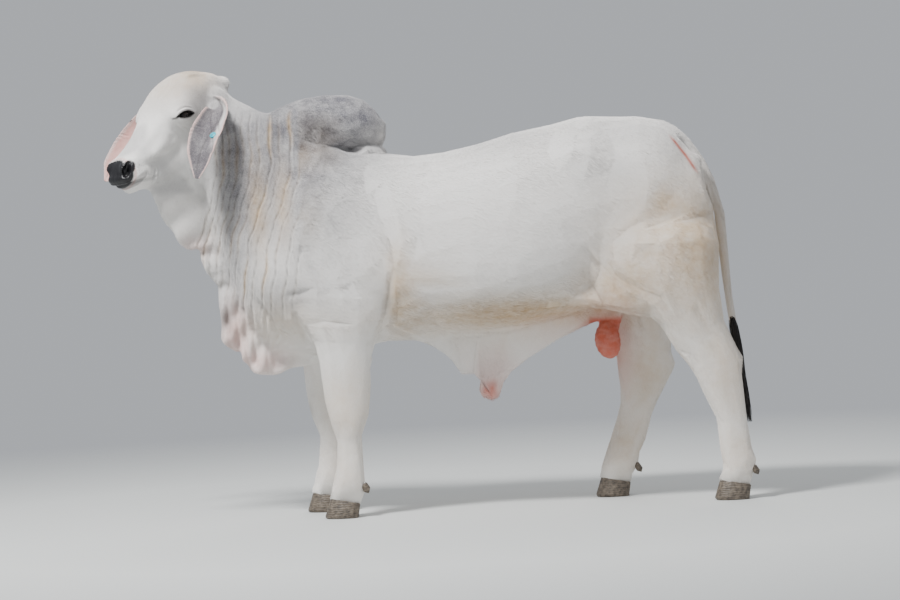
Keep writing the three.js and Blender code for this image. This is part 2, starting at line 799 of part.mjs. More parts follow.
const earWidths = [[0, 30], [0.12, 50], [0.3, 66], [0.5, 68], [0.68, 60], [0.84, 42], [1, 10]];
const earCups = [[0, 100], [0.2, 72], [0.5, 46], [0.8, 34], [1, 20]];
const ears = {
  left: {
    path: [
      [-1208, -104, 1668],
      [-1190, -196, 1628],
      [-1218, -250, 1569],
      [-1243, -280, 1522],
      [-1259, -302, 1472],
      [-1270, -314, 1424],
      [-1285, -322, 1362],
    ],
    facing: new THREE.Vector3(-0.35, -0.92, -0.1),
  },
  right: {
    path: [
      [-1362, 66, 1668],
      [-1430, 130, 1650],
      [-1510, 152, 1592],
      [-1592, 146, 1508],
      [-1652, 126, 1434],
      [-1688, 104, 1382],
    ],
    facing: new THREE.Vector3(-0.4, -0.88, 0.1),
  },
};
for (const [side, ear] of Object.entries(ears)) {
  const curve = new THREE.CatmullRomCurve3(ear.path.map((p) => new THREE.Vector3(...p)));
  ear.leaf = { curve, facing: ear.facing, widthAt: smoothTable(earWidths), cupAt: smoothTable(earCups) };
  const solid = leafSolid(ear.leaf, EAR_THICKNESS);
  add(`ear_${side}`, largest(solid.subtract(headFlesh.cutter).subtract(neckFlesh.cutter)), GREY);
}

// A round button tag lies on the left ear's hollow side.
const { place: tagPlace, out: tagOut } = leafPlace(ears.left.leaf, TAG.t, TAG.v);
const tagShape = new THREE.CylinderGeometry(TAG.radius, TAG.radius, TAG.height, 12);
tagShape.applyQuaternion(new THREE.Quaternion().setFromUnitVectors(new THREE.Vector3(0, 1, 0), tagOut));
tagShape.translate(...tagPlace.addScaledVector(tagOut, EAR_THICKNESS / 2).toArray());
add("ear_tag", largest(solidOf(tagShape).subtract(leafSolid(ears.left.leaf, EAR_THICKNESS + 3 * GAP))), "#2fb4c4", 0.4);
add("head", largest(headPart), WHITE);

// Loose skin.
const over = -GAP; // neighbouring cutters overlap, so that they leave no fins between them
const fleshCutters = [
  behindHead.keep(headFlesh.cutter, over),
  beforeShoulder.keep(behindHead.drop(neckFlesh.cutter, over), over),
  behindRibs.drop(beforeShoulder.drop(chestFlesh.cutter, over), over),
  beforeHips.drop(behindRibs.keep(barrelFlesh.cutter, over), over),
  beforeHips.keep(rumpFlesh.cutter, over),
];
function hang(name, form, colour) {
  return { name, colour, solid: fleshCutters.reduce((rest, cutter) => rest.subtract(cutter), form) };
}
const throat = hang("dewlap_throat", curtain(throatFold), WHITE);
const brisket = hang("dewlap_brisket", curtain(brisketFold), CREAM);
const sheath = hang("sheath", curtain(sheathFold), CREAM);
const purse = fleshSolids(scrotumSkin, [180, -120, 520], [420, 120, 860], [30, 26, 30]);
const scrotum = hang("scrotum", purse.solid.subtract(block([400, -300, 0], [700, 300, 900])), PINK);
sheath.solid = sheath.solid.subtract(purse.cutter);
const throatBottom = cut([-1260, 0, 958], [0, 0, 1]);
throat.solid = throatBottom.keep(throat.solid);
brisket.solid = throatBottom.drop(brisket.solid);
for (const part of [throat, brisket, sheath, scrotum]) add(part.name, largest(part.solid), part.colour);

// Hooves. Each foot has two claws, cut off by the slope of the coronet, and two dewclaws behind.
function clawOutline(grow, side) {
  const w = HOOF.width + grow;
  const toe = HOOF.length * 0.56 + grow;
  const heel = HOOF.length * 0.44 + grow * 0.3;
  return [
    [-toe, 0.2],
    [-toe * 0.86, 0.62],
    [-toe * 0.4, 0.93],
    [0, 1],
    [heel * 0.6, 0.92],
    [heel, 0.62],
    [heel, 0.04],
    [0, 0],
    [-toe * 0.7, 0],
    [-toe, 0.06],
  ].map(([x, y]) => [x, side * (HOOF.cleft / 2 + y * w)]);
}

function clawSolid(foot, side) {
  const levels = [[0, 0, 0], [8, 3, -2], [100, -9, 18]];
  const rings = levels.map(([z, grow, back]) =>
    clawOutline(grow, side).map(([x, y]) => [foot.x + x + back, foot.y + y, z]),
  );
  return ringSolid(rings);
}

function coronet(foot) {
  const slope = (CORONET.toe - CORONET.heel) / HOOF.length;
  return cut([foot.x, foot.y, (CORONET.toe + CORONET.heel) / 2], [slope, 0, 1]);
}

const legs = {
  foreleg_left: { foot: FEET.leftFore, span: foreBlocks[0], rear: -691, box: [[-1000, -440, -110], [-500, -40, 880]] },
  foreleg_right: { foot: FEET.rightFore, span: foreBlocks[1], rear: -776, box: [[-1070, 30, -110], [-560, 440, 880]] },
  hindleg_left: { foot: FEET.leftHind, span: hindBlocks[0], rear: 840, box: [[180, -500, -110], [980, 20, 1180]] },
  hindleg_right: { foot: FEET.rightHind, span: hindBlocks[1], rear: 408, box: [[120, -20, -110], [880, 500, 1180]] },
};
for (const [name, leg] of Object.entries(legs)) {
  const fore = name.startsWith("fore");
  const cell = fore ? [36, 34, 52] : [42, 40, 58];
  const { solid, cutter } = fleshSolids(flesh, ...leg.box, cell);
  let part = solid.intersect(fore ? block(...leg.span, -GAP / 2) : groin.drop(block(...leg.span, -GAP / 2)));
  const top = coronet(leg.foot);
  part = top.keep(part);
  for (const side of [-1, 1]) {
    const where = side * leg.foot.y > 0 ? "outer" : "inner";
    const claw = top.drop(clawSolid(leg.foot, side));
    add(`hoof_${name}_${where}`, largest(claw), DARK, 0.5);
    const dewclaw = new THREE.LatheGeometry(
      [[0, -22], [15, -8], [13, 16], [0, 24]].map(([r, h]) => new THREE.Vector2(r, h)),
      6,
    );
    dewclaw.rotateX(radians(90));
    dewclaw.rotateY(radians(-28));
    dewclaw.translate(leg.rear - 2, leg.foot.y + side * 27, 112);
    add(`dewclaw_${name}_${where}`, largest(solidOf(dewclaw).subtract(cutter)), DARK, 0.5);
  }
  add(name, largest(part), WHITE);
}

// Tail.
const tailPath = [
  [490, 0, 1476],
  [560, 0, 1466],
  [622, 0, 1428],
  [676, 0, 1362],
  [717, 0, 1286],
  [750, 0, 1200],
  [768, 0, 1110],
  [776, 0, 977],
  [783, 0, 870],
  [792, 0, 760],
  [805, 0, 660],
  [813, 0, 610],
].map((p) => new THREE.Vector3(...p));
const tailCurve = new THREE.CatmullRomCurve3(tailPath);

// A tube along a curve whose radius follows a table, closed at both ends.
function taperedTube(curve, radii, rings, sides) {
  const radiusAt = smoothTable(radii);
  const across = new THREE.Vector3(0, 1, 0);
  const stack = Array.from({ length: rings + 1 }, (_, i) => {
    const centre = curve.getPoint(i / rings);
    const out = new THREE.Vector3().crossVectors(curve.getTangent(i / rings), across).normalize();
    const [, radius] = radiusAt(i / rings);
    return Array.from({ length: sides }, (_, j) => {
      const turn = (j / sides) * 2 * Math.PI;
      return centre
        .clone()
        .addScaledVector(across, radius * Math.cos(turn))
        .addScaledVector(out, radius * Math.sin(turn))
        .toArray();
    });
  });
  return ringSolid(stack);
}
const tailRadii = [[0, 38], [0.1, 40], [0.2, 33], [0.34, 27], [0.5, 22], [0.7, 19], [0.9, 17], [1, 16]];
const tailEnd = cut([810, 0, 622], [0.08, 0, -1]);
let tail = taperedTube(tailCurve, tailRadii, 16, 8);
tail = tailEnd.drop(tail).subtract(rumpFlesh.cutter);
add("tail", largest(tail), GREY);
// The switch: a short core under flat locks that overlap, bend and taper to their tips.
const switchCurve = new THREE.CatmullRomCurve3([
  new THREE.Vector3(806, 0, 660),
  new THREE.Vector3(814, 0, 590),
  new THREE.Vector3(824, 0, 480),
  new THREE.Vector3(838, 0, 380),
  new THREE.Vector3(850, 0, 286),
]);
const coreRadii = [[0, 16], [0.5, 18], [1, 8]];
const coreCurve = new THREE.CatmullRomCurve3([0, 0.16, 0.32, 0.48].map((t) => switchCurve.getPoint(t)));

function seededRandom(seed) {
  let state = seed;
  return (low, high) => {
    state = (state * 16807) % 2147483647;
    return low + (high - low) * (state / 2147483647);
  };
}

function lockSolid(path, out, width, thickness, bands) {
  const curve = new THREE.CatmullRomCurve3(path);
  const widthAt = smoothTable([[0, 0.6], [0.3, 1], [0.65, 0.9], [0.9, 0.4], [1, 0.06]]);
  const rings = Array.from({ length: bands + 1 }, (_, i) => {
    const t = i / bands;
    const across = new THREE.Vector3().crossVectors(curve.getTangent(t), out).normalize();
    const half = (width / 2) * widthAt(t)[1];
    const rise = (thickness / 2) * widthAt(t)[1];
    const at = (a, o) => curve.getPoint(t).addScaledVector(across, a).addScaledVector(out, o).toArray();
    return [at(-half, 0), at(0, -rise), at(half, 0), at(0, rise)];
  });
  return ringSolid(rings);
}

function switchSolid() {
  const random = seededRandom(SWITCH.seed);
  const solids = [taperedTube(coreCurve, coreRadii, 4, 7)];
  for (let i = 0; i < SWITCH.locks; i++) {
    const layer = i / SWITCH.locks;
    const angle = i * GOLDEN_ANGLE + random(-0.2, 0.2);
    const out = new THREE.Vector3(Math.cos(angle), Math.sin(angle), 0);
    const root = 0.06 + 0.4 * layer;
    const tip = Math.min(root + random(0.42, 0.6), 1);
    const spread = SWITCH.spread * random(0.75, 1) * (1 - 0.35 * layer);
    const along = (f) => switchCurve.getPoint(root + (tip - root) * f);
    const sway = random(-8, 8);
    const side = new THREE.Vector3(-out.y, out.x, 0);
    const path = [
      along(0).addScaledVector(out, 2),
      along(0.3).addScaledVector(out, spread * 0.62).addScaledVector(side, sway * 0.5),
      along(0.65).addScaledVector(out, spread).addScaledVector(side, sway),
      along(1).addScaledVector(out, spread * random(0.3, 0.75)).addScaledVector(side, -sway * 0.4),
    ];
    solids.push(lockSolid(path, out, SWITCH.width * random(0.85, 1.15), SWITCH.width * 0.36, 4));
  }
  return wasm.Manifold.union(solids);
}
add("tail_switch", largest(tailEnd.keep(switchSolid())), "#1d1a19");

// The scene graph, with the origin on the ground under the middle of the bull.
const bull = new THREE.Group();
bull.position.set(-BOX_CENTRE[0], -BOX_CENTRE[1], 0);
for (const { name, solid, colour, roughness } of shown) {
  const { numProp, vertProperties, triVerts } = solid.getMesh();
  const geometry = new THREE.BufferGeometry();
  geometry.setAttribute("position", new THREE.BufferAttribute(new Float32Array(vertProperties), numProp));
  geometry.setIndex(new THREE.BufferAttribute(new Uint32Array(triVerts), 1));
  geometry.computeVertexNormals();
  const material = new THREE.MeshStandardMaterial({ color: colour, roughness, metalness: 0 });
  const mesh = new THREE.Mesh(geometry, material);
  mesh.name = name;
  bull.add(mesh);
}

const model = new THREE.Group();
model.add(bull);
export default model;
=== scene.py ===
import math

import bmesh
import bpy
import numpy as np
from mathutils import Matrix, Vector


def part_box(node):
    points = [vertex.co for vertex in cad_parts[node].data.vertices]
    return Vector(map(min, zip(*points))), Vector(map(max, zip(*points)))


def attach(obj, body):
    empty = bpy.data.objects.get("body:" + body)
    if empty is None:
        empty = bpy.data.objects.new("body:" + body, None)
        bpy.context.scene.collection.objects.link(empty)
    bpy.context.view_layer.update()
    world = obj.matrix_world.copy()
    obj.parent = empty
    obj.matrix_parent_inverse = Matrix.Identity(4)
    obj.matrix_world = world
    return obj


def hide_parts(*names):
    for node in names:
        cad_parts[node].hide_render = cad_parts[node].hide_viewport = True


bl_info = {
    "name": "Brahman Bull",
    "version": (1, 0, 0),
    "blender": (4, 5, 0),
    "location": "3D View > Sidebar > Bull",
    "description": "Skin, short coat, eyes, hooves, ear tag and tail switch of a standing bull",
    "category": "Object",
}

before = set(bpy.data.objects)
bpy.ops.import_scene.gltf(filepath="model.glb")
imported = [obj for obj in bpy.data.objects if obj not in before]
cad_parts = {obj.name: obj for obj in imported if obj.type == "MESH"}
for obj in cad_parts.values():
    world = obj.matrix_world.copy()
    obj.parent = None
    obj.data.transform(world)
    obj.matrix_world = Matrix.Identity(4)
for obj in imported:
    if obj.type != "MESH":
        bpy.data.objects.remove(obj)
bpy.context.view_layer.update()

# Driving dimensions, shared with the solids.
BOX_CENTRE = np.array([-417.75, -2.9, 0.0])
HEAD_YAW = 39
HEAD_PITCH = 40
POLL = np.array([-1275.0, -10.0, 1800.0])
EAR_THICKNESS = 7
FEET = {
    "left_fore": (-783, -185),
    "right_fore": (-867, 165),
    "left_hind": (752, -225),
    "right_hind": (306, 205),
}
CORONET = {"toe": 84, "heel": 56}
HOOF_LENGTH = 128

# How the skin is made.
CELL = 6.5
COARSE = 4  # cells across a coarse one, far from the surface
FAR = 60.0  # the greatest distance that a field keeps
EAR_MARGIN = 22.0
EAR_HALF_LEAST = 6.5  # half an ear's thickness while its surface is first found
SKIN_LOW = np.array([-1745.0, -400.0, -20.0])
SKIN_HIGH = np.array([895.0, 400.0, 1835.0])
SINK = 6.0  # how deep the skin lies under the solids' faces, to leave room for the coat
HEAD_SINK = 2.5
SKIN_FRONT = -1694.5  # the foremost x of the skin, at the far ear's tip
SKIN_TRIANGLES = 197000
PIECE_TRIANGLES = 200000  # every piece of the coat stays below it


def placed(points):
    """Millimetres in the bull's own frame to metres in the shared one."""
    return (np.asarray(points, float) - BOX_CENTRE) / 1000


def unplaced(points):
    """Metres in the shared frame to millimetres in the bull's own one."""
    return np.asarray(points, float) * 1000 + BOX_CENTRE


# Curves and tables.
class Table:
    """A smooth curve through rows of numbers, each column against the first."""

    def __init__(self, rows, samples=600):
        rows = np.array(rows, float)
        key = rows[:, 0]
        order = np.arange(len(key))
        before = np.maximum(order - 1, 0)
        after = np.minimum(order + 1, len(key) - 1)
        slope = (rows[after] - rows[before]) / (key[after] - key[before])[:, None]
        self.key = np.linspace(key[0], key[-1], samples)
        i = np.clip(np.searchsorted(key, self.key, side="right") - 1, 0, len(key) - 2)
        span = (key[i + 1] - key[i])[:, None]
        f = (self.key[:, None] - key[i][:, None]) / span
        self.rows = (
            (2 * f**3 - 3 * f**2 + 1) * rows[i]
            + (f**3 - 2 * f**2 + f) * span * slope[i]
            + (3 * f**2 - 2 * f**3) * rows[i + 1]
            + (f**3 - f**2) * span * slope[i + 1]
        )
        self.low = rows.min(0)
        self.high = rows.max(0)

    def column(self, t, k):
        return np.interp(t, self.key, self.rows[:, k])


def spline(points, t):
    """Points on a smooth curve through the given ones, for t from 0 to 1."""
    points = np.array(points, float)
    padded = np.vstack([2 * points[0] - points[1], points, 2 * points[-1] - points[-2]])
    place = np.clip(np.asarray(t, float), 0, 1) * (len(points) - 1)
    i = np.minimum(place.astype(int), len(points) - 2)
    f = (place - i)[:, None]
    a, b, c, d = (padded[i + n] for n in range(4))
    legs = ((a, b), (b, c), (c, d))
    gap = [np.maximum(np.sqrt(np.linalg.norm(q - p, axis=1)), 1e-3)[:, None] for p, q in legs]
    start = ((b - a) / gap[0] - (c - a) / (gap[0] + gap[1]) + (c - b) / gap[1]) * gap[1]
    end = ((c - b) / gap[1] - (d - b) / (gap[1] + gap[2]) + (d - c) / gap[2]) * gap[1]
    return b + start * f + (3 * (c - b) - 2 * start - end) * f**2 + (2 * (b - c) + start + end) * f**3


def directions(points):
    """Unit directions along a row of points."""
    along = np.gradient(points, axis=0)
    return along / np.linalg.norm(along, axis=1)[:, None]


def smooth_min(a, b, k):
    h = np.maximum(k - np.abs(a - b), 0) / k
    return np.minimum(a, b) - h * h * k / 4


def smooth_max(a, b, k):
    return -smooth_min(-a, -b, k)


def ramp(value, start, end):
    """0 before start and 1 after end, smooth between them."""
    f = np.clip((value - start) / (end - start), 0, 1)
    return f * f * (3 - 2 * f)


# Forms. Each has a box and a distance from its surface, negative inside.
class Form:
    def __init__(self, low, high, distance):
        self.low = np.array(low, float)
        self.high = np.array(high, float)
        self.distance = distance


def loft_distance(side, half, up, radius, power, past, over):
    section = (np.abs(side / half) ** power + np.abs(up / radius) ** power) ** (1 / power)
    norm = np.maximum(np.hypot(section, over), 1e-6)
    return np.sqrt(side**2 + up**2 + past**2) * (1 - 1 / norm)


def trunk(rows, front_cap, back_cap):
    """A trunk along x. Rows are x, lowest z, highest z, z of the greatest width, half width, squareness."""
    table = Table(rows)
    first = rows[0][0]
    last = rows[-1][0]

    def distance(p):
        t = np.clip(p[:, 0], first, last)
        low, high, wide, half, power = (table.column(t, k) for k in range(1, 6))
        past = p[:, 0] - t
        over = np.where(past < 0, -past / front_cap, past / back_cap)
        up = p[:, 2] - wide
        radius = np.where(up > 0, high - wide, wide - low)
        return loft_distance(p[:, 1], half, up, radius, power, past, over)

    half = table.high[4]
    return Form((first - front_cap, -half, table.low[1]), (last + back_cap, half, table.high[2]), distance)


def limb(rows, low_cap, high_cap):
    """A limb along z. Rows are z, front x, rear x, middle y, half width, squareness."""
    table = Table(rows)
    first = rows[0][0]
    last = rows[-1][0]

    def distance(p):
        t = np.clip(p[:, 2], first, last)
        front, rear, middle, half, power = (table.column(t, k) for k in range(1, 6))
        past = p[:, 2] - t
        over = np.where(past < 0, -past / low_cap, past / high_cap)
        up = p[:, 0] - (front + rear) / 2
        return loft_distance(p[:, 1] - middle, half, up, (rear - front) / 2, power, past, over)

    half = table.high[4]
    return Form(
        (table.low[1], table.low[3] - half, first - low_cap),
        (table.high[2], table.high[3] + half, last + high_cap),
        distance,
    )


def ball(centre, radii, tilt=0):
    """A muscle or bone: an ellipsoid at a centre, tilted nose-down by degrees in the side view."""
    centre = np.array(centre, float)
    radii = np.array(radii, float)
    c = math.cos(math.radians(tilt))
    s = math.sin(math.radians(tilt))

    def distance(p):
        d = p - centre
        q = np.stack([c * d[:, 0] - s * d[:, 2], d[:, 1], s * d[:, 0] + c * d[:, 2]], 1) / radii
        near = np.linalg.norm(q, axis=1)
        slope = np.linalg.norm(q / radii, axis=1)
        return np.where(slope > 1e-9, near * (near - 1) / np.maximum(slope, 1e-9), -radii.min())

    reach = np.array([max(radii[0], radii[2]) if tilt else radii[0], radii[1], max(radii[0], radii[2])])
    return Form(centre - reach, centre + reach, distance)


def mirrored(form):
    """A form on the left side and its mirror image on the right."""
    width = max(abs(form.low[1]), abs(form.high[1]))

    def distance(p):
        return form.distance(p * (1, 0, 1) - np.abs(p) * (0, 1, 0))

    return Form((form.low[0], -width, form.low[2]), (form.high[0], width, form.high[2]), distance)


def blended(forms):
    """Joins forms one after another: each has a blend width, and a negative width carves it away."""

    def distance(p):
        total = np.full(len(p), 1000.0)
        for form, k in forms:
            margin = abs(k) + FAR
            near = np.all((p > form.low - margin) & (p < form.high + margin), axis=1)
            if not near.any():
                continue
            d = form.distance(p[near])
            total[near] = smooth_min(total[near], d, k) if k > 0 else smooth_max(total[near], -d, -k)
        return total

    low = np.min([form.low for form, k in forms if k > 0], axis=0)
    high = np.max([form.high for form, k in forms if k > 0], axis=0)
    return Form(low, high, distance)


# The head's own frame: a along the face from the poll, s to its right, u out of the forehead.
def head_axes():
    yaw = math.radians(HEAD_YAW)
    pitch = math.radians(HEAD_PITCH)
    along = [-math.cos(yaw) * math.cos(pitch), -math.sin(yaw) * math.cos(pitch), -math.sin(pitch)]
    side = [-math.sin(yaw), math.cos(yaw), 0]
    up = [-math.cos(yaw) * math.sin(pitch), -math.sin(yaw) * math.sin(pitch), math.cos(pitch)]
    return np.array([along, side, up])


HEAD_AXES = head_axes()


def to_head(points):
    return (points - POLL) @ HEAD_AXES.T


def from_head(points):
    return np.asarray(points, float) @ HEAD_AXES + POLL


def eye_centre(side):
    """The middle of an eye's globe in the head's frame, from the solids."""
    low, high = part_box("eye_left" if side < 0 else "eye_right")
    return to_head(unplaced((np.array(low) + np.array(high)) / 2)[None])[0]


# Skull and jaw are trunks in the head's frame, where a, s and u stand for x, y and z.
SKULL = [
    (-35, -130, -62, -95, 66, 2.1),
    (20, -146, 12, -68, 92, 2.2),
    (80, -148, 56, -50, 120, 2.4),
    (135, -144, 72, -42, 131, 2.5),
    (200, -138, 74, -38, 136, 2.5),
    (260, -130, 60, -36, 132, 2.5),
    (318, -120, 36, -38, 109, 2.4),
    (392, -110, 14, -46, 86, 2.3),
    (465, -106, 2, -50, 75, 2.3),
    (530, -102, -2, -52, 73, 2.4),
    (570, -98, -14, -56, 71, 2.5),
    (595, -90, -38, -62, 62, 2.5),
]
JAW = [
    (120, -240, -110, -165, 76, 2.2),
    (200, -258, -100, -172, 94, 2.3),
    (280, -250, -90, -166, 92, 2.3),
    (355, -232, -84, -154, 78, 2.3),
    (430, -208, -82, -140, 64, 2.3),
    (495, -184, -80, -128, 55, 2.3),
    (545, -158, -78, -114, 48, 2.3),
    (580, -134, -76, -102, 38, 2.2),
]
# The opening between the lids lies along a line tilted by degrees. The dome and the floor are radii along it,
# across it and out of the head.
EYE_RADIUS = 22
LID_TILT = 30
LID_OPENING = {"half_length": 37, "upper": 12, "lower": 7.5}
LID_DOME = (50, 28, 28)
LID_FLOOR = (44, 20, 12)
LID_BOX = np.array([60, 40, 60])
HEAD_BOX = ((-1750, -440, 1290), (-1140, 220, 1850))


def eye_frame(at, side):
    """Places near an eye: along its opening to the inner corner, up across it, and out of the head."""
    d = at - eye_centre(side)
    c = math.cos(math.radians(LID_TILT))
    s = math.sin(math.radians(LID_TILT))
    return np.stack([c * d[:, 0] + s * d[:, 2], -s * d[:, 0] + c * d[:, 2], side * d[:, 1]], 1)


def almond(q):
    """Distance outside the opening between the lids, negative inside it."""
    arch = 1 - (q[:, 0] / LID_OPENING["half_length"]) ** 2
    return np.maximum(q[:, 1] - LID_OPENING["upper"] * arch, -LID_OPENING["lower"] * arch - q[:, 1])


def egg(q, radii):
    """Rough distance from an ellipsoid round an eye's middle."""
    return (np.linalg.norm(q / np.array(radii), axis=1) - 1) * min(radii)


def lid_dome(side):
    """The lids, closed: a dome of skin round the globe."""
    centre = eye_centre(side)
    return Form(centre - LID_BOX, centre + LID_BOX, lambda p: egg(eye_frame(p, side), LID_DOME))


def lid_opening(side):
    """What is cut out of the dome: the slit between the lids, down to a floor behind the globe's edge."""
    centre = eye_centre(side)

    def distance(p):
        q = eye_frame(p, side)
        return np.maximum.reduce([almond(q), -egg(q, LID_FLOOR), -q[:, 2]])

    return Form(centre - LID_BOX, centre + LID_BOX, distance)


def head_form():
    forms = [
        (trunk(SKULL, 26, 20), 1),
        (trunk(JAW, 40, 16), 45),
        (mirrored(ball((215, -82, -160), (110, 36, 84))), 40),  # cheek muscle
        (mirrored(ball((252, -112, -14), (62, 34, 42))), 30),  # rim of the eye socket
        (mirrored(ball((350, -80, -78), (95, 14, 22), -6)), 24),  # ridge from eye to cheek
        (mirrored(ball((530, -47, -98), (52, 29, 38))), 22),  # upper lip
        (ball((565, 0, -126), (28, 36, 20)), 18),  # chin
        (mirrored(ball((553, -49, -30), (34, 24, 24))), 16),  # wing of the nostril
        (mirrored(ball((34, -58, -36), (36, 26, 26))), 24),  # stub where a horn was taken off
        (mirrored(ball((82, -118, -88), (46, 30, 40))), 30),  # root of the ear
    ]
    for side in (-1, 1):
        forms.append((lid_dome(side), 18))
        forms.append((lid_opening(side), -2.5))
        forms.append((ball((571, side * 61, -38), (25, 17, 14), 32), -6))  # nostril
        forms.append((ball((545, side * 66, -24), (17, 9, 7), 20), -5))  # the slit behind it
    shape = blended(forms)

    def distance(p):
        return shape.distance(to_head(p))

    return Form(*HEAD_BOX, distance)


# The body.
BARREL = [
    (-900, 700, 1490, 1060, 235, 2.2),
    (-800, 665, 1482, 1060, 275, 2.3),
    (-700, 655, 1455, 1060, 296, 2.3),
    (-536, 690, 1432, 1050, 312, 2.3),
    (-400, 708, 1420, 1035, 332, 2.3),
    (-215, 706, 1448, 1025, 362, 2.3),
    (-50, 718, 1489, 1035, 372, 2.3),
    (100, 748, 1515, 1060, 358, 2.3),
    (230, 782, 1541, 1110, 330, 2.3),
    (350, 800, 1536, 1140, 308, 2.3),
    (480, 828, 1528, 1150, 284, 2.3),
    (600, 890, 1474, 1150, 228, 2.2),
    (672, 985, 1362, 1150, 150, 2.1),
]
NECK = [
    (690, -1060, -760, 0, 120, 2.1),
    (760, -1120, -720, 0, 205, 2.1),
    (850, -1165, -700, 0, 250, 2.1),
    (950, -1195, -700, 0, 268, 2.1),
    (1050, -1222, -700, 0, 262, 2.1),
    (1150, -1245, -730, 0, 240, 2.1),
    (1250, -1270, -780, -6, 214, 2.1),
    (1350, -1300, -830, -16, 190, 2.1),
    (1450, -1330, -870, -24, 168, 2.1),
    (1550, -1330, -930, -22, 146, 2.1),
    (1620, -1310, -1040, -14, 118, 2.1),
    (1690, -1295, -1160, -8, 92, 2.1),
    (1730, -1285, -1212, -6, 70, 2.1),
]
HUMP = [
    (-1020, 1480, 1616, 1560, 70, 2.1),
    (-950, 1470, 1646, 1560, 94, 2.2),
    (-850, 1460, 1674, 1560, 114, 2.2),
    (-724, 1458, 1678, 1560, 124, 2.2),
    (-650, 1456, 1662, 1558, 120, 2.2),
    (-600, 1458, 1624, 1548, 104, 2.2),
    (-572, 1466, 1584, 1532, 80, 2.1),
]


def foreleg(shift, y):
    """A foreleg down to its hoof, with its contour moved along x, and its foot at y."""
    rows = [
        (-60, -862, -732, 4, 60, 2.6),
        (85, -848, -712, 4, 61, 2.5),
        (118, -836, -700, 4, 61, 2.3),
        (158, -826, -702, 2, 61, 2.2),
        (197, -815, -704, 0, 54, 2.2),
        (240, -809, -705, 0, 50, 2.2),
        (300, -806, -706, 0, 52, 2.2),
        (335, -812, -702, 0, 58, 2.3),
        (375, -828, -686, 0, 68, 2.4),
        (415, -838, -672, 0, 73, 2.4),
        (460, -846, -668, -2, 71, 2.3),
        (520, -852, -660, -6, 72, 2.2),
        (600, -858, -654, -12, 80, 2.2),
        (680, -874, -630, -16, 90, 2.2),
        (760, -894, -596, -20, 100, 2.2),
        (850, -915, -585, -22, 96, 2.2),
    ]
    moved = [(z, front + shift, rear + shift, y + m, half, power) for z, front, rear, m, half, power in rows]
    return limb(moved, 10, 60)


# Rows are z, front x, rear x and half width.
LEFT_HIND = [
    (-60, 671, 801, 60), (85, 693, 824, 60), (118, 709, 840, 59), (158, 710, 844, 58),
    (200, 701, 831, 51), (260, 699, 822, 47), (315, 693, 816, 48), (370, 673, 813, 53),
    (430, 645, 808, 60), (480, 624, 805, 64), (540, 591, 801, 66), (590, 553, 791, 70),
    (650, 516, 769, 80), (710, 477, 748, 96), (790, 416, 737, 116), (900, 367, 736, 136),
    (1010, 337, 732, 140),
]
RIGHT_HIND = [
    (-60, 225, 357, 60), (85, 246, 382, 60), (124, 254, 406, 59), (176, 274, 419, 57),
    (215, 290, 437, 51), (274, 313, 459, 48), (333, 332, 477, 48), (385, 343, 502, 53),
    (440, 346, 534, 60), (490, 344, 561, 64), (540, 339, 567, 66), (590, 335, 563, 70),
    (650, 331, 571, 80), (710, 323, 595, 96), (790, 311, 636, 116), (900, 311, 685, 136),
    (1010, 341, 717, 140),
]


def hindleg(contour, y):
    rows = [(z, front, rear, y - max(0, z - 560) * 0.03, half, 2.2) for z, front, rear, half in contour]
    return limb(rows, 10, 90)


# Loose skin that hangs below the body: its root and edge in the side view, whether it turns with the
# head, its half width along it, and the number and depth of its waves.
THROAT = {
    "root": [(-1400, 1430), (-1290, 1340), (-1230, 1240), (-1190, 1130), (-1160, 1020), (-1130, 950)],
    "edge": [
        (-1496, 1345), (-1466, 1272), (-1440, 1200), (-1411, 1161), (-1385, 1107),
        (-1350, 1084), (-1318, 1086), (-1312, 1052), (-1290, 985), (-1256, 950),
    ],
    "turn": True,
    "widths": [(0, 34), (0.5, 32), (1, 44)],
    "pleats": 4.5,
    "depth": 9,
}
BRISKET = {
    "root": [(-1150, 1010), (-1120, 900), (-1080, 830), (-1030, 800), (-960, 785), (-860, 775), (-720, 765)],
    "edge": [
        (-1256, 965), (-1253, 881), (-1247, 790), (-1249, 720), (-1226, 688), (-1182, 660), (-1150, 612),
        (-1128, 584), (-1080, 570), (-1025, 570), (-979, 590), (-890, 600), (-800, 640), (-700, 690),
    ],
    "turn": False,
    "widths": [(0, 46), (0.25, 60), (0.6, 62), (0.8, 50), (1, 40)],
    "pleats": 6.5,
    "depth": 16,
}
SHEATH = {
    "root": [
        (-560, 760), (-420, 760), (-320, 760), (-240, 760), (-180, 765),
        (-110, 770), (-20, 780), (100, 800), (290, 830),
    ],
    "edge": [
        (-560, 690), (-440, 664), (-370, 624), (-325, 578), (-292, 533), (-245, 530), (-222, 500),
        (-214, 452), (-185, 430), (-155, 434), (-142, 470), (-98, 529), (-20, 585), (100, 650),
        (200, 694), (300, 726),
    ],
    "turn": False,
    "widths": [(0, 40), (0.5, 44), (1, 52)],
    "pleats": 3,
    "depth": 3,
}


GRID_STEP = 6.0
CURTAIN_HALF = 80
TURNED_HALF = 340


def outline_distance(places, outline):
    """Distance of flat places from a closed outline, negative inside."""
    nearest = np.full(len(places), 1e9)
    inside = np.zeros(len(places), bool)
    for a, b in zip(outline, np.roll(outline, -1, axis=0)):
        along = b - a
        f = np.clip((places - a) @ along / (along @ along), 0, 1)
        nearest = np.minimum(nearest, np.linalg.norm(places - a - f[:, None] * along, axis=1))
        crosses = (a[1] > places[:, 1]) != (b[1] > places[:, 1])
        at = a[0] + (places[:, 1] - a[1]) * along[0] / (along[1] if along[1] else 1e-9)
        inside ^= crosses & (places[:, 0] < at)
    return np.where(inside, -nearest, nearest)


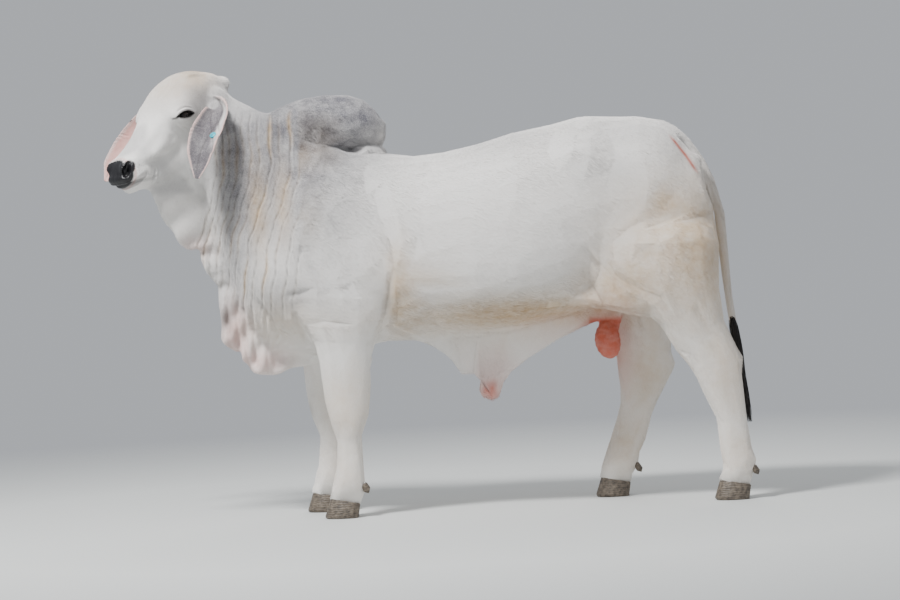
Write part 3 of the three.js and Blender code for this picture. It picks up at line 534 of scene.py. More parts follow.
def flat_places(outline):
    """A grid of places in the side view round an outline: its lowest corner, its counts and its places."""
    low = outline.min(0) - FAR
    count = np.ceil((outline.max(0) + FAR - low) / GRID_STEP).astype(int) + 1
    axes = [low[k] + GRID_STEP * np.arange(count[k]) for k in range(2)]
    xs, zs = np.meshgrid(*axes, indexing="ij")
    return low, count, np.stack([xs.ravel(), zs.ravel()], 1)


def curtain(fold):
    """A hanging fold of skin, whose middle, half width and outline are read from flat grids."""
    t = np.linspace(0, 1, 160)
    root = spline(fold["root"], t)
    edge = spline(fold["edge"], t)
    outline = np.vstack([edge, root[::-1]])
    low, count, places = flat_places(outline)
    flat = outline_distance(places, outline)

    reach = np.linspace(0, 1, 24)
    ruled = root[:, None] * (1 - reach[None, :, None]) + edge[:, None] * reach[None, :, None]
    ruled = ruled.reshape(-1, 2)
    parts = np.array_split(places, 64)
    nearest = [np.argmin(((part[:, None] - ruled[None]) ** 2).sum(2), axis=1) for part in parts]
    nearest = np.concatenate(nearest)
    at_t = t[nearest // len(reach)]
    at_r = reach[nearest % len(reach)]
    wave = fold["depth"] * at_r * np.sin(2 * math.pi * fold["pleats"] * at_t)
    turn = 0
    if fold["turn"]:
        turn = POLL[1] + math.tan(math.radians(HEAD_YAW)) * np.minimum(places[:, 0] - POLL[0], 0)
    widths = Table(fold["widths"])
    half = widths.column(at_t, 1) * (1 - 0.55 * at_r)
    grids = [soften(g.reshape(count)) for g in (flat, turn + wave, half)]

    def distance(p):
        edge_off, middle, thick = (sample_flat(g, low, p) for g in grids)
        radius = np.minimum(thick * 0.8, 18)
        a = np.abs(p[:, 1] - middle) - thick + radius
        b = edge_off + radius
        return np.minimum(np.maximum(a, b), 0) + np.hypot(np.maximum(a, 0), np.maximum(b, 0)) - radius

    left = TURNED_HALF if fold["turn"] else CURTAIN_HALF
    high = outline.max(0)
    return Form((low[0] + FAR, -left, low[1] + FAR), (high[0], CURTAIN_HALF, high[1]), distance)


def soften(grid):
    """A flat grid with small steps smoothed out."""
    for _ in range(2):
        beside = np.roll(grid, 1, 0) + np.roll(grid, -1, 0) + np.roll(grid, 1, 1) + np.roll(grid, -1, 1)
        grid = (beside + 4 * grid) / 8
    return grid


def sample_flat(grid, low, p):
    """A flat grid in the side view, read between its places."""
    x = np.clip((p[:, 0] - low[0]) / GRID_STEP, 0, grid.shape[0] - 1.001)
    z = np.clip((p[:, 2] - low[1]) / GRID_STEP, 0, grid.shape[1] - 1.001)
    i = x.astype(int)
    k = z.astype(int)
    f = x - i
    g = z - k
    near = grid[i, k] * (1 - f) + grid[i + 1, k] * f
    beyond = grid[i, k + 1] * (1 - f) + grid[i + 1, k + 1] * f
    return near * (1 - g) + beyond * g


def scrotum_form():
    neck_rows = [(640, 250, 330, 0, 62, 2.2), (720, 262, 362, 0, 46, 2.2), (800, 262, 390, 0, 50, 2.2)]
    return blended([
        (limb(neck_rows, 20, 20), 20),
        (mirrored(ball((296, -34, 640), (54, 44, 76), -8)), 24),
    ])


TAIL_PATH = [
    (490, 0, 1476), (560, 0, 1466), (622, 0, 1428), (676, 0, 1362), (717, 0, 1286), (750, 0, 1200),
    (768, 0, 1110), (776, 0, 977), (783, 0, 870), (792, 0, 760), (805, 0, 660), (813, 0, 610),
]
TAIL_RADII = [(0, 38), (0.1, 40), (0.2, 33), (0.34, 27), (0.5, 22), (0.7, 19), (0.9, 17), (1, 16)]


def tail_form():
    t = np.linspace(0, 1, 60)
    path = spline(TAIL_PATH, t)
    radii = Table(TAIL_RADII).column(t, 1)

    def distance(p):
        nearest = np.full(len(p), 1e9)
        for a, b, ra, rb in zip(path[:-1], path[1:], radii[:-1], radii[1:]):
            along = b - a
            f = np.clip((p - a) @ along / (along @ along), 0, 1)
            off = np.linalg.norm(p - a - f[:, None] * along, axis=1) - (ra + (rb - ra) * f)
            nearest = np.minimum(nearest, off)
        return nearest

    return Form(path.min(0) - 40, path.max(0) + 40, distance)


# Ears: each is a cupped leaf along a drooping curve, with its half width and its bend in degrees along it.
EAR_WIDTHS = [(0, 30), (0.12, 50), (0.3, 66), (0.5, 68), (0.68, 60), (0.84, 42), (1, 10)]
EAR_CUPS = [(0, 100), (0.2, 72), (0.5, 46), (0.8, 34), (1, 20)]
EARS = {
    "left": {
        "path": [
            (-1208, -104, 1668), (-1190, -196, 1628), (-1218, -250, 1569), (-1243, -280, 1522),
            (-1259, -302, 1472), (-1270, -314, 1424), (-1285, -322, 1362),
        ],
        "facing": (-0.35, -0.92, -0.1),
    },
    "right": {
        "path": [
            (-1362, 66, 1668), (-1430, 130, 1650), (-1510, 152, 1592),
            (-1592, 146, 1508), (-1652, 126, 1434), (-1688, 104, 1382),
        ],
        "facing": (-0.4, -0.88, 0.1),
    },
}


class Leaf:
    """The middle surface of an ear, sampled along (t) and across (v)."""

    def __init__(self, ear, rows=64, columns=29):
        self.t = np.linspace(0, 1, rows)
        self.v = np.linspace(-1, 1, columns)
        centre = spline(ear["path"], self.t)
        tangent = directions(centre)
        facing = np.array(ear["facing"], float)
        normal = facing - (tangent @ facing)[:, None] * tangent
        normal /= np.linalg.norm(normal, axis=1)[:, None]
        across = np.cross(tangent, normal)
        bend = np.radians(Table(EAR_CUPS).column(self.t, 1))
        radius = Table(EAR_WIDTHS).column(self.t, 1) / bend
        turn = bend[:, None] * self.v[None, :]
        swing = radius[:, None] * np.sin(turn)
        rise = radius[:, None] * (1 - np.cos(turn))
        self.place = centre[:, None] + across[:, None] * swing[..., None] + normal[:, None] * rise[..., None]
        self.out = normal[:, None] * np.cos(turn)[..., None] - across[:, None] * np.sin(turn)[..., None]
        self.along = np.gradient(self.place, axis=0)
        self.along /= np.linalg.norm(self.along, axis=2)[..., None]
        self.over = np.cross(self.out, self.along)
        rib = (1 - 0.6 * np.abs(self.v)[None, :]) * (1 - 0.5 * self.t)[:, None]
        self.half = EAR_THICKNESS * rib / 2 + 1.5

    def nearest(self, p):
        """Row and column of the nearest place on the leaf for each point."""
        middle = self.place.reshape(-1, 3).mean(0)
        flat = (self.place.reshape(-1, 3) - middle).astype(np.float32)
        size = (flat**2).sum(1)
        near = (p - middle).astype(np.float32)
        parts = np.array_split(near, len(p) // 2000 + 1)
        found = [np.argmin(size[None] - 2 * part @ flat.T, axis=1) for part in parts]
        return np.divmod(np.concatenate(found), len(self.v))

    def distance(self, p, least=0.0):
        i, j = self.nearest(p)
        d = p - self.place[i, j]
        high = (d * self.out[i, j]).sum(1)
        ahead = (d * self.along[i, j]).sum(1)
        beside = (d * self.over[i, j]).sum(1)
        before = np.where(i == 0, np.maximum(-ahead, 0), 0)
        past = np.where(i == len(self.t) - 1, np.maximum(ahead, 0), before)
        rim = (j == 0) | (j == len(self.v) - 1)
        off = np.sqrt(high**2 + past**2 + np.where(rim, beside, 0) ** 2)
        return off - np.maximum(self.half[i, j], least)

    def form(self, least=0.0):
        flat = self.place.reshape(-1, 3)
        return Form(flat.min(0) - 10, flat.max(0) + 10, lambda p: self.distance(p, least))


LEAVES = {side: Leaf(ear) for side, ear in EARS.items()}


def flesh_forms():
    """The body, head and legs, in the order in which they melt into each other."""
    return [
        (trunk(BARREL, 120, 46), 1),
        (limb(NECK, 40, 22), 130),
        (mirrored(ball((-850, -205, 1070), (150, 92, 290), 22)), 70),  # shoulder blade
        (mirrored(ball((-1000, -196, 960), (100, 74, 110))), 60),  # point of the shoulder
        (mirrored(ball((-742, -222, 905), (180, 88, 190), 28)), 60),  # triceps
        (mirrored(ball((215, -232, 1372), (80, 66, 66))), 90),  # hook bone
        (mirrored(ball((650, -104, 1322), (56, 50, 60))), 60),  # pin bone
        (mirrored(ball((470, -196, 1080), (205, 104, 290), -12)), 80),  # thigh
        (mirrored(ball((622, -150, 1040), (118, 104, 260))), 60),  # buttock
        (ball((372, -238, 880), (105, 82, 150), -30), 70),  # left stifle
        (ball((318, 238, 880), (100, 82, 150), -14), 70),  # right stifle
        (trunk(HUMP, 60, 28), 34),
        (ball((-614, 0, 1446), (66, 90, 25)), 24),  # under the hump's overhang
        (foreleg(7, FEET["left_fore"][1]), 60),
        (foreleg(-78, FEET["right_fore"][1]), 60),
        (hindleg(LEFT_HIND, FEET["left_hind"][1]), 70),
        (hindleg(RIGHT_HIND, FEET["right_hind"][1]), 70),
        (mirrored(ball((240, -238, 806), (150, 34, 34), 6)), 70),  # fold of the flank
        (mirrored(ball((100, -398, 1310), (110, 46, 80))), -90),  # hollow before the hip
        (ball((783, -225, 548), (24, 30, 34)), 26),  # point of the left hock
        (ball((548, 205, 528), (24, 30, 34)), 26),  # point of the right hock
        (head_form(), 60),
        (ball((-1318, -58, 1448), (96, 84, 112)), 60),  # throat
        (ball((-1196, -158, 1644), (34, 28, 34)), 24),  # root of the left ear
        (ball((-1398, 100, 1662), (34, 28, 32)), 24),  # root of the right ear
        (curtain(THROAT), 30),
        (curtain(BRISKET), 34),
        (curtain(SHEATH), 36),
        (ball((-184, 0, 474), (44, 28, 42)), 24),  # end of the sheath
        (scrotum_form(), 12),
        (tail_form(), 26),
    ]


def above_hooves(p):
    """Distance below the slope where each leg goes into its hoof, positive below it."""
    slope = (CORONET["toe"] - CORONET["heel"]) / HOOF_LENGTH
    below = np.full(len(p), -1000.0)
    for x, y in FEET.values():
        near = np.hypot(p[:, 0] - x, p[:, 1] - y) < 170
        height = (CORONET["toe"] + CORONET["heel"]) / 2 - slope * (p[near, 0] - x) - 5
        below[near] = height - p[near, 2]
    return below


class Skin:
    """The bull's surface: flesh sunk by the coat's depth, with the ears."""

    def __init__(self):
        self.flesh = blended(flesh_forms())
        self.ears = {
            least: [(leaf.form(least), 14) for leaf in LEAVES.values()] for least in (0.0, EAR_HALF_LEAST)
        }

    def distance(self, p, least=0.0):
        sink = HEAD_SINK + (SINK - HEAD_SINK) * ramp(p[:, 0], -1330, -1200)
        tail = ramp(p[:, 0], 690, 730) * ramp(np.abs(p[:, 1]), 70, 50)
        sink = sink * (1 - 0.6 * np.maximum(tail, ramp(p[:, 2], 700, 560)))
        total = self.flesh.distance(p) + sink
        total = smooth_max(total, above_hooves(p), 8)
        for form, k in self.ears[least]:
            near = np.all((p > form.low - EAR_MARGIN) & (p < form.high + EAR_MARGIN), axis=1)
            total[near] = smooth_min(total[near], form.distance(p[near]), k)
        return total


def stretched(grid, axis, count):
    """A coarse grid read at finer steps along one axis."""
    place = np.arange(count) / COARSE
    i = np.minimum(place.astype(int), grid.shape[axis] - 2)
    shape = [1, 1, 1]
    shape[axis] = count
    f = (place - i).reshape(shape).astype(np.float32)
    return np.take(grid, i, axis) * (1 - f) + np.take(grid, i + 1, axis) * f


def field_grid(skin):
    """The skin's field on a fine grid: exact near the surface, and read off a coarse grid elsewhere."""
    coarse_cell = CELL * COARSE
    count = np.ceil((SKIN_HIGH - SKIN_LOW) / coarse_cell).astype(int) + 1
    fine = (count - 1) * COARSE + 1
    axes = [SKIN_LOW[k] + coarse_cell * np.arange(count[k]) for k in range(3)]
    points = np.stack(np.meshgrid(*axes, indexing="ij"), -1).reshape(-1, 3)
    grid = np.minimum(skin.distance(points, EAR_HALF_LEAST), FAR).reshape(count).astype(np.float32)
    for axis in range(3):
        grid = stretched(grid, axis, fine[axis])
    near = np.abs(grid) < 2.6 * CELL
    for leaf in LEAVES.values():
        flat = leaf.place.reshape(-1, 3)
        low = np.floor((flat.min(0) - 16 - SKIN_LOW) / CELL).astype(int)
        high = np.ceil((flat.max(0) + 16 - SKIN_LOW) / CELL).astype(int)
        near[low[0]:high[0], low[1]:high[1], low[2]:high[2]] = True
    at = np.argwhere(near)
    grid[near] = skin.distance(SKIN_LOW + CELL * at, EAR_HALF_LEAST)
    return grid


def surface_nets(grid):
    """Points and quads where a grid of distances changes sign."""
    inside = grid < 0
    cells = np.array(grid.shape) - 1
    corners = [(c & 1, (c >> 1) & 1, (c >> 2) & 1) for c in range(8)]

    def corner(block, c):
        return block[tuple(slice(o, o + n) for o, n in zip(c, cells))]

    count = sum(corner(inside, c).astype(np.int8) for c in corners)
    mixed = (count > 0) & (count < 8)
    index = np.full(mixed.shape, -1)
    index[mixed] = np.arange(mixed.sum())
    values = [corner(grid, c)[mixed] for c in corners]
    total = np.zeros((mixed.sum(), 3))
    crossings = np.zeros(mixed.sum())
    for a in range(8):
        for bit in (1, 2, 4):
            if a & bit:
                continue
            va = values[a]
            vb = values[a | bit]
            crossed = (va < 0) != (vb < 0)
            f = np.where(crossed, va / np.where(crossed, va - vb, 1), 0)
            ends = np.array(corners[a]) + f[:, None] * (np.array(corners[a | bit]) - np.array(corners[a]))
            total += np.where(crossed[:, None], ends, 0)
            crossings += crossed
    points = SKIN_LOW + CELL * (np.argwhere(mixed) + total / crossings[:, None])

    quads = []
    for axis in range(3):
        u = (axis + 1) % 3
        w = (axis + 2) % 3
        here = [slice(1, -1)] * 3
        there = list(here)
        there[axis] = slice(2, None)
        a = inside[tuple(here)]
        crossed = a != inside[tuple(there)]
        at = np.argwhere(crossed) + 1
        back_u = np.eye(3, dtype=int)[u]
        back_w = np.eye(3, dtype=int)[w]
        ring = np.stack([index[tuple((at - o).T)] for o in (back_u + back_w, back_w, 0 * back_u, back_u)], 1)
        flip = ~a[crossed]
        ring[flip] = ring[flip][:, ::-1]
        quads.append(ring)
    return points, np.vstack(quads)


def relaxed(points, faces, rounds, share=0.5, moving=None):
    """Points moved part of the way to the middle of their neighbours."""
    after = np.roll(faces, -1, 1)
    pairs = np.vstack([np.stack([faces[:, k], after[:, k]], 1) for k in range(faces.shape[1])])
    pairs = np.vstack([pairs, pairs[:, ::-1]])
    count = np.bincount(pairs[:, 0], minlength=len(points))[:, None]
    for _ in range(rounds):
        total = np.stack([np.bincount(pairs[:, 0], points[pairs[:, 1], k], len(points)) for k in range(3)], 1)
        change = share * (total / np.maximum(count, 1) - points)
        points = points + (change if moving is None else change * moving[:, None])
    return points


def drawn_onto(distance, points, rounds=2, reach=4.0):
    """Points walked down a field's slope to its surface."""
    step = 0.8
    for _ in range(rounds):
        here = distance(points)
        slope = np.stack([distance(points + step * np.eye(3)[k]) - here for k in range(3)], 1) / step
        size = np.maximum(np.linalg.norm(slope, axis=1), 0.2)
        points = points - (np.clip(here / size, -reach, reach) / size)[:, None] * slope
    return points


def point_normals(points, faces):
    """Unit normals of a mesh's points."""
    a, b, c = (points[faces[:, k]] for k in (0, 1, 2))
    normal = np.cross(b - a, c - a)
    if faces.shape[1] == 4:
        normal = np.cross(c - a, points[faces[:, 3]] - b)
    total = np.zeros_like(points)
    for k in range(faces.shape[1]):
        for axis in range(3):
            total[:, axis] += np.bincount(faces[:, k], normal[:, axis], len(points))
    return total / np.maximum(np.linalg.norm(total, axis=1), 1e-9)[:, None]


def triangles_of(mesh):
    mesh.calc_loop_triangles()
    found = np.empty(len(mesh.loop_triangles) * 3, np.int32)
    mesh.loop_triangles.foreach_get("vertices", found)
    return found.reshape(-1, 3)


def points_of(mesh):
    found = np.empty(len(mesh.vertices) * 3)
    mesh.vertices.foreach_get("co", found)
    return found.reshape(-1, 3)


def new_object(name, points, faces, smooth=True):
    """An object at the origin with its place in its mesh."""
    mesh = bpy.data.meshes.new(name)
    mesh.from_pydata(np.asarray(points).tolist(), [], np.asarray(faces).tolist() if len(faces) else [])
    mesh.update()
    if smooth:
        mesh.shade_smooth()
    thing = bpy.data.objects.new(name, mesh)
    bpy.context.scene.collection.objects.link(thing)
    return thing


def set_points(mesh, points):
    mesh.vertices.foreach_set("co", np.asarray(points, np.float64).astype(np.float32).ravel())
    mesh.update()


def refined(points, faces, wanted):
    """A mesh with the faces near some places split in four."""
    thing = new_object("skin_work", points, faces)
    work = bmesh.new()
    work.from_mesh(thing.data)
    work.verts.ensure_lookup_table()
    chosen = [e for e in work.edges if wanted[e.verts[0].index] and wanted[e.verts[1].index]]
    bmesh.ops.subdivide_edges(work, edges=chosen, cuts=1, use_grid_fill=True, smooth=0)
    bmesh.ops.triangulate(work, faces=work.faces[:])
    work.to_mesh(thing.data)
    work.free()
    points = points_of(thing.data)
    faces = triangles_of(thing.data)
    bpy.data.meshes.remove(thing.data)
    return points, faces


def run_modifiers(thing):
    """Turns an object and its live modifiers into a plain mesh."""
    graph = bpy.context.evaluated_depsgraph_get()
    mesh = bpy.data.meshes.new_from_object(thing.evaluated_get(graph))
    thing.modifiers.clear()
    old = thing.data
    thing.data = mesh
    bpy.data.meshes.remove(old)
    return thing


# Folds and creases of the skin, as lines in the side view: points, depth, half width, and the side
# (-1 left, 1 right) of those that aren't on both.
CREASES = [
    ([(-735, 1467), (-690, 1444), (-620, 1438), (-541, 1447)], 5, 12),  # under the hump
    ([(201, 1029), (278, 932), (378, 865), (488, 808), (556, 733)], 9, 14),  # flank to stifle
    ([(240, 985), (300, 905), (392, 842), (470, 790)], 4, 9),
    ([(554, 1093), (640, 1112), (741, 1130)], 6, 12),  # across the thigh
    ([(563, 1484), (640, 1412), (699, 1323), (740, 1220), (761, 1114), (775, 1000)], 6, 9, -1),  # by the tail
    ([(-553, 973), (-570, 850), (-580, 793), (-623, 671)], 12, 13),  # behind the elbow
    ([(-660, 1400), (-610, 1250), (-570, 1120), (-556, 1010)], 9, 42),  # shoulder blade's rear edge
    ([(-900, 1090), (-850, 1000), (-760, 950)], 7, 40),
    ([(590, 1260), (520, 1150), (450, 1020), (430, 920)], 6, 44),  # muscles of the thigh
    ([(235, 1300), (300, 1250), (375, 1216)], 3, 48),
    ([(640, 1240), (690, 1100), (704, 950), (716, 800)], 5, 26),
    ([(610, 800), (660, 700), (716, 600)], 5, 15, -1),
    ([(400, 800), (440, 700), (490, 590)], 5, 15, 1),
    ([(-812, 760), (-780, 640), (-770, 520)], 4, 13, -1),
    ([(-892, 760), (-860, 640), (-850, 520)], 4, 13, 1),
    ([(-583, 748), (-520, 712), (-455, 676)], 6, 11),
    ([(-553, 1119), (-545, 1050), (-534, 980)], 5, 14),  # behind the shoulder
    ([(-459, 1100), (-452, 1050), (-442, 1004)], 4, 16),
    ([(-879, 779), (-840, 782), (-807, 779), (-734, 771)], 5, 8),  # top of the foreleg
    ([(-833, 700), (-790, 694), (-753, 689)], 3, 6),
    ([(-835, 645), (-790, 638), (-756, 634)], 3, 6),
    ([(-680, 726), (-655, 722), (-628, 715)], 3, 6),
    ([(-680, 683), (-655, 678), (-630, 671)], 3, 6),
    ([(-676, 640), (-655, 636), (-632, 630)], 3, 6),
    ([(-943, 830), (-920, 770), (-891, 699)], 8, 12),  # before the arm
    ([(-763, 925), (-730, 905), (-692, 886)], 6, 18),
    ([(-969, 885), (-910, 893), (-851, 908)], 4, 12),
    ([(-1168, 910), (-1177, 808), (-1179, 692), (-1171, 597)], 9, 9),  # brisket
    ([(-1147, 894), (-1148, 734), (-1144, 588)], 5, 8),
    ([(-1111, 878), (-1115, 732), (-1112, 579)], 7, 8),
    ([(-1092, 892), (-1040, 800), (-1006, 727), (-1053, 656)], 7, 9),
    ([(-1050, 860), (-1064, 730), (-1064, 584)], 6, 8),
    ([(-994, 683), (-940, 680), (-892, 674)], 4, 8),
    ([(-988, 650), (-940, 646), (-894, 641)], 4, 8),
    ([(-1212, 905), (-1216, 800), (-1214, 700)], 6, 8),
    ([(-307, 560), (-275, 548), (-247, 536)], 4, 6),  # sheath
    ([(-196, 520), (-186, 480), (-180, 440)], 3, 5),
    ([(551, 630), (590, 590), (629, 540)], 4, 8, -1),  # front of the left hock
    ([(566, 612), (600, 575), (632, 528)], 3, 6, -1),
    ([(350, 560), (362, 540), (352, 505)], 4, 8, 1),
    ([(-835, 480), (-790, 474), (-750, 478)], 2.5, 6, -1),  # above the left knee
    ([(-915, 480), (-870, 474), (-830, 478)], 2.5, 6, 1),
]
# The upright folds of the neck: how far they sway forward at each height, and each one's x, depth and stain.
NECK_SWAY = Table([
    (560, -190), (800, -150), (960, -124), (1100, -104), (1220, -52), (1370, -10), (1600, 0), (1800, 60),
])
NECK_WIDTH = 4.2
NECK_LINES = [-1216, -1188, -1163, -1133, -1108, -1078, -1047, -1002, -966, -922, -884, -836, -796]
NECK_DEPTHS = [2.6, 3.6, 1.8, 3.4, 1.6, 3.0, 2.4, 4.6, 1.6, 3.8, 2.0, 1.8, 1.4]
NECK_STAINS = [0.2, 0.35, 0.15, 0.3, 0.15, 0.3, 0.25, 0.75, 0.15, 0.65, 0.35, 0.2, 0.15]

# Folds of the head, as lines in its own frame: points, depth, half width, and which two of a, s and u
# they are drawn in.
HEAD_CREASES = [
    ([(458, -117), (480, -138), (507, -163)], 5, 5, (0, 2)),  # corner of the mouth
    ([(446, -120), (462, -146), (484, -172)], 3, 4, (0, 2)),
    ([(467, -173), (478, -210), (491, -248)], 8, 8, (0, 2)),  # pleats of the throat
    ([(422, -213), (438, -246), (455, -280)], 8, 8, (0, 2)),
    ([(373, -240), (388, -280), (403, -320)], 8, 8, (0, 2)),
    ([(330, -205), (342, -250), (352, -300)], 6, 8, (0, 2)),
    ([(318, -62), (370, -84), (425, -92)], 3, 15, (0, 2)),  # along the cheek
    ([(312, -2), (380, -26), (450, -34), (505, -34)], 2.5, 14, (0, 2)),
    ([(309, -30), (297, -57), (284, -86)], 2.4, 4, (0, 2)),  # below the eye
    ([(326, -36), (318, -58), (306, -82)], 2.0, 4, (0, 2)),
    ([(292, -52), (276, -74), (262, -96)], 2.0, 4, (0, 2)),
    ([(122, 40), (168, 58), (213, 62), (262, 50)], 3.0, 7, (0, 1)),  # forehead
    ([(96, 16), (150, 24), (210, 24), (262, 18)], 2.2, 6, (0, 1)),
    ([(540, -2), (548, -26), (566, -48)], 3.0, 4, (0, 2)),  # behind the nostril
    ([(522, -14), (528, -40), (540, -66)], 2.2, 5, (0, 2)),
]
MOUTH_LINE = [(470, -150), (490, -142), (515, -126), (555, -103), (588, -88), (618, -79)]
# Folds of the lids: whether each is on the upper lid, its distance from the opening, depth and half width.
LID_FOLDS = [(True, 7, 2.6, 2.4), (True, 17, 3.0, 4.0), (False, 8, 2.0, 2.6), (False, 16, 1.6, 3.4)]
SCROTUM = {"x": 300, "bottom": 540, "top": 760, "half_width": 110}


def line_distance(p, line):
    """Distance in the side view from a line, and how far along it each point is."""
    line = np.array(line, float)
    nearest = np.full(len(p), 1e9)
    place = np.zeros(len(p))
    for n, (a, b) in enumerate(zip(line[:-1], line[1:])):
        along = b - a
        f = np.clip((p - a) @ along / (along @ along), 0, 1)
        off = np.linalg.norm(p - a - f[:, None] * along, axis=1)
        closer = off < nearest
        nearest = np.where(closer, off, nearest)
        place = np.where(closer, (n + f) / (len(line) - 1), place)
    return nearest, place


def groove(off, depth, width):
    """A crease with a soft roll of skin on each side of it."""
    return depth * (0.3 * np.exp(-(((off - 1.9 * width) / width) ** 2)) - np.exp(-((off / width) ** 2)))


def tapered(place):
    """1 along the middle of a line, falling to 0 at its ends."""
    return ramp(place, -0.02, 0.2) * ramp(place, 1.02, 0.8)


def creased(flat, chosen, line, depth, width):
    """Which of the chosen flat places a crease reaches, and how far each of them rises or sinks."""
    low = np.min(line, axis=0) - 4 * width
    high = np.max(line, axis=0) + 4 * width
    near = np.flatnonzero(np.all((flat > low) & (flat < high), axis=1) & chosen)
    off, place = line_distance(flat[near], line)
    return near, tapered(place) * groove(off, depth, width)


def on_sides(p, sides):
    """Which points lie on a side of the bull: on either one where no side is given."""
    return p[:, 1] * sides[0] > 0 if sides else np.ones(len(p), bool)


def fold_heights(p, normals):
    """How far the skin rises or sinks along its normals."""
    height = np.zeros(len(p))
    flat = p[:, [0, 2]]
    for line, depth, width, *sides in CREASES:
        near, rise = creased(flat, on_sides(p, sides), line, depth, width)
        height[near] += rise
    for (near, off, fade), depth in zip(neck_lines(p, normals), NECK_DEPTHS):
        height[near] += fade * groove(off, depth, NECK_WIDTH)
    wrinkles = np.sin(p[:, 2] / 3.4 + 1.4 * np.sin(p[:, 0] / 15 + p[:, 1] / 11))
    return height + on_scrotum(p) * 1.1 * wrinkles + head_heights(p)


def neck_lines(p, normals):
    """For each upright fold of the neck: the points near it, how far off they are, and its strength there."""
    across = p[:, 0] - NECK_SWAY.column(p[:, 2], 1) + 4 * np.sin(p[:, 2] / 61)
    across = across + 3 * np.sin(p[:, 2] / 23 + p[:, 0] / 40)
    facing = ramp(np.abs(normals[:, 1]), 0.2, 0.5)
    on_neck = ramp(p[:, 2], 700, 900) * ramp(p[:, 2], 1640, 1560) * facing
    found = []
    for start in NECK_LINES:
        near = np.flatnonzero(np.abs(across - start) < 30)
        lower = 0.6 * (start - NECK_LINES[0])
        fade = ramp(p[near, 2], 880 - lower, 1080 - lower)
        found.append((near, np.abs(across[near] - start), on_neck[near] * fade))
    return found


def on_scrotum(p):
    """How far each point lies on the bare scrotum, from 0 to 1."""
    top, bottom, half = (SCROTUM[key] for key in ("top", "bottom", "half_width"))
    upright = ramp(p[:, 2], top, top - 45) * ramp(p[:, 2], bottom, bottom + 20)
    return upright * ramp(np.abs(p[:, 0] - SCROTUM["x"]), 90, 70) * ramp(np.abs(p[:, 1]), half, half - 15)


def on_head(p):
    """How far each point lies on the head, from 0 to 1."""
    return ramp(p[:, 0], -1240, -1300) * ramp(p[:, 2], 1290, 1330)


def lid_heights(q):
    """Folds round the opening of an eye, for places in the eye's frame."""
    value = almond(q)
    total = np.zeros(len(q))
    for upper, off, depth, width in LID_FOLDS:
        total += ((q[:, 1] > 0) == upper) * groove(np.abs(value - off), depth, width)
    return ramp(np.abs(q[:, 0]), 44, 26) * total


def head_heights(p):
    """Folds of the face, throat and lids, and the line of the mouth."""
    height = np.zeros(len(p))
    face = np.flatnonzero((p[:, 0] < -1180) & (p[:, 2] > 1220))
    at = to_head(p[face])
    rise = np.zeros(len(face))
    for line, depth, width, (first, second) in HEAD_CREASES:
        flat = np.stack([at[:, first], np.abs(at[:, second]) if second == 1 else at[:, second]], 1)
        outside = np.abs(at[:, 1]) > 30 if second == 2 else at[:, 2] > -60
        near, fold = creased(flat, outside, line, depth, width)
        rise[near] += fold
    near = (at[:, 0] > 440) & (at[:, 0] < 640) & (np.abs(at[:, 2] + 112) < 60)
    off, place = line_distance(at[near][:, [0, 2]], MOUTH_LINE)
    rise[near] += groove(off, 6.0, 4.5) * ramp(place, -0.02, 0.1)
    for side in (-1, 1):
        q = eye_frame(at, side)
        near = np.all(np.abs(q) < 60, axis=1) & (q[:, 2] > -6)
        rise[near] += lid_heights(q[near])
    height[face] = rise
    return height


# Markings. Each is a middle and radii in the side view, how strong, and its side where it isn't on both.
GREY_MARKS = [
    ((-930, 1350), (300, 300), 0.30),
    ((-780, 1440), (230, 110), 0.50),
    ((-800, 1330), (200, 130), 0.26),
    ((-1140, 1240), (90, 330), 0.34),
    ((-1210, 1560), (80, 130), 0.30),
    ((-400, 1480), (500, 90), 0.14),
    ((-300, 1200), (700, 300), 0.07),
    ((420, 1250), (330, 300), 0.07),
    ((-760, 1640), (230, 90), 0.96),
    ((-640, 1570), (110, 80), 0.85),
    ((-900, 1560), (170, 110), 0.75),
    ((-1000, 1490), (220, 150), 0.50),
    ((-1090, 1300), (150, 250), 0.55),
    ((-1170, 1480), (90, 150), 0.40),
    ((-1420, 1690), (110, 80), 0.18),
    ((-900, 1250), (190, 190), 0.36),
    ((-1180, 1010), (80, 240), 0.32),
    ((-1240, 1690), (70, 70), 0.50),
    ((-1330, 1740), (110, 80), 0.30),
    ((-1010, 880), (90, 80), 0.35),
    ((-910, 890), (80, 40), 0.30),
    ((-780, 900), (150, 120), 0.16),
    ((650, 1400), (120, 90), 0.22),
    ((-80, 1450), (220, 60), 0.22),
    ((340, 1480), (140, 50), 0.22),
    ((300, 1260), (110, 70), 0.16),
    ((-1250, 820), (50, 110), 0.30),
]
CREAM_MARKS = [
    ((650, 980), (150, 260), 0.70),
    ((548, 1176), (46, 30), 0.60, -1),
    ((470, 1060), (200, 180), 0.40),
    ((340, 860), (150, 110), 0.62),
    ((-60, 770), (440, 70), 0.85),
    ((-520, 880), (50, 160), 0.80),
    ((-1060, 1220), (40, 170), 0.45),
    ((-960, 1250), (34, 150), 0.40),
    ((-1290, 1776), (70, 50), 0.50),
    ((-1400, 1730), (130, 80), 0.30),
    ((-1010, 780), (160, 90), 0.30),
    ((-760, 430), (110, 120), 0.40),
    ((740, 520), (90, 160), 0.45),
    ((460, 500), (110, 160), 0.50),
    ((360, 200), (140, 120), 0.45),
    ((770, 180), (110, 110), 0.35),
    ((-780, 180), (120, 90), 0.30),
]
PINK_MARKS = [
    ((-1190, 730), (60, 130), 0.34),
    ((-1080, 620), (110, 60), 0.32),
    ((-1330, 1090), (60, 50), 0.24),
    ((-185, 462), (54, 52), 0.95),
    ((-150, 560), (120, 60), 0.22),
    ((120, 720), (160, 40), 0.20),
    ((296, 620), (80, 130), 1.00),
]
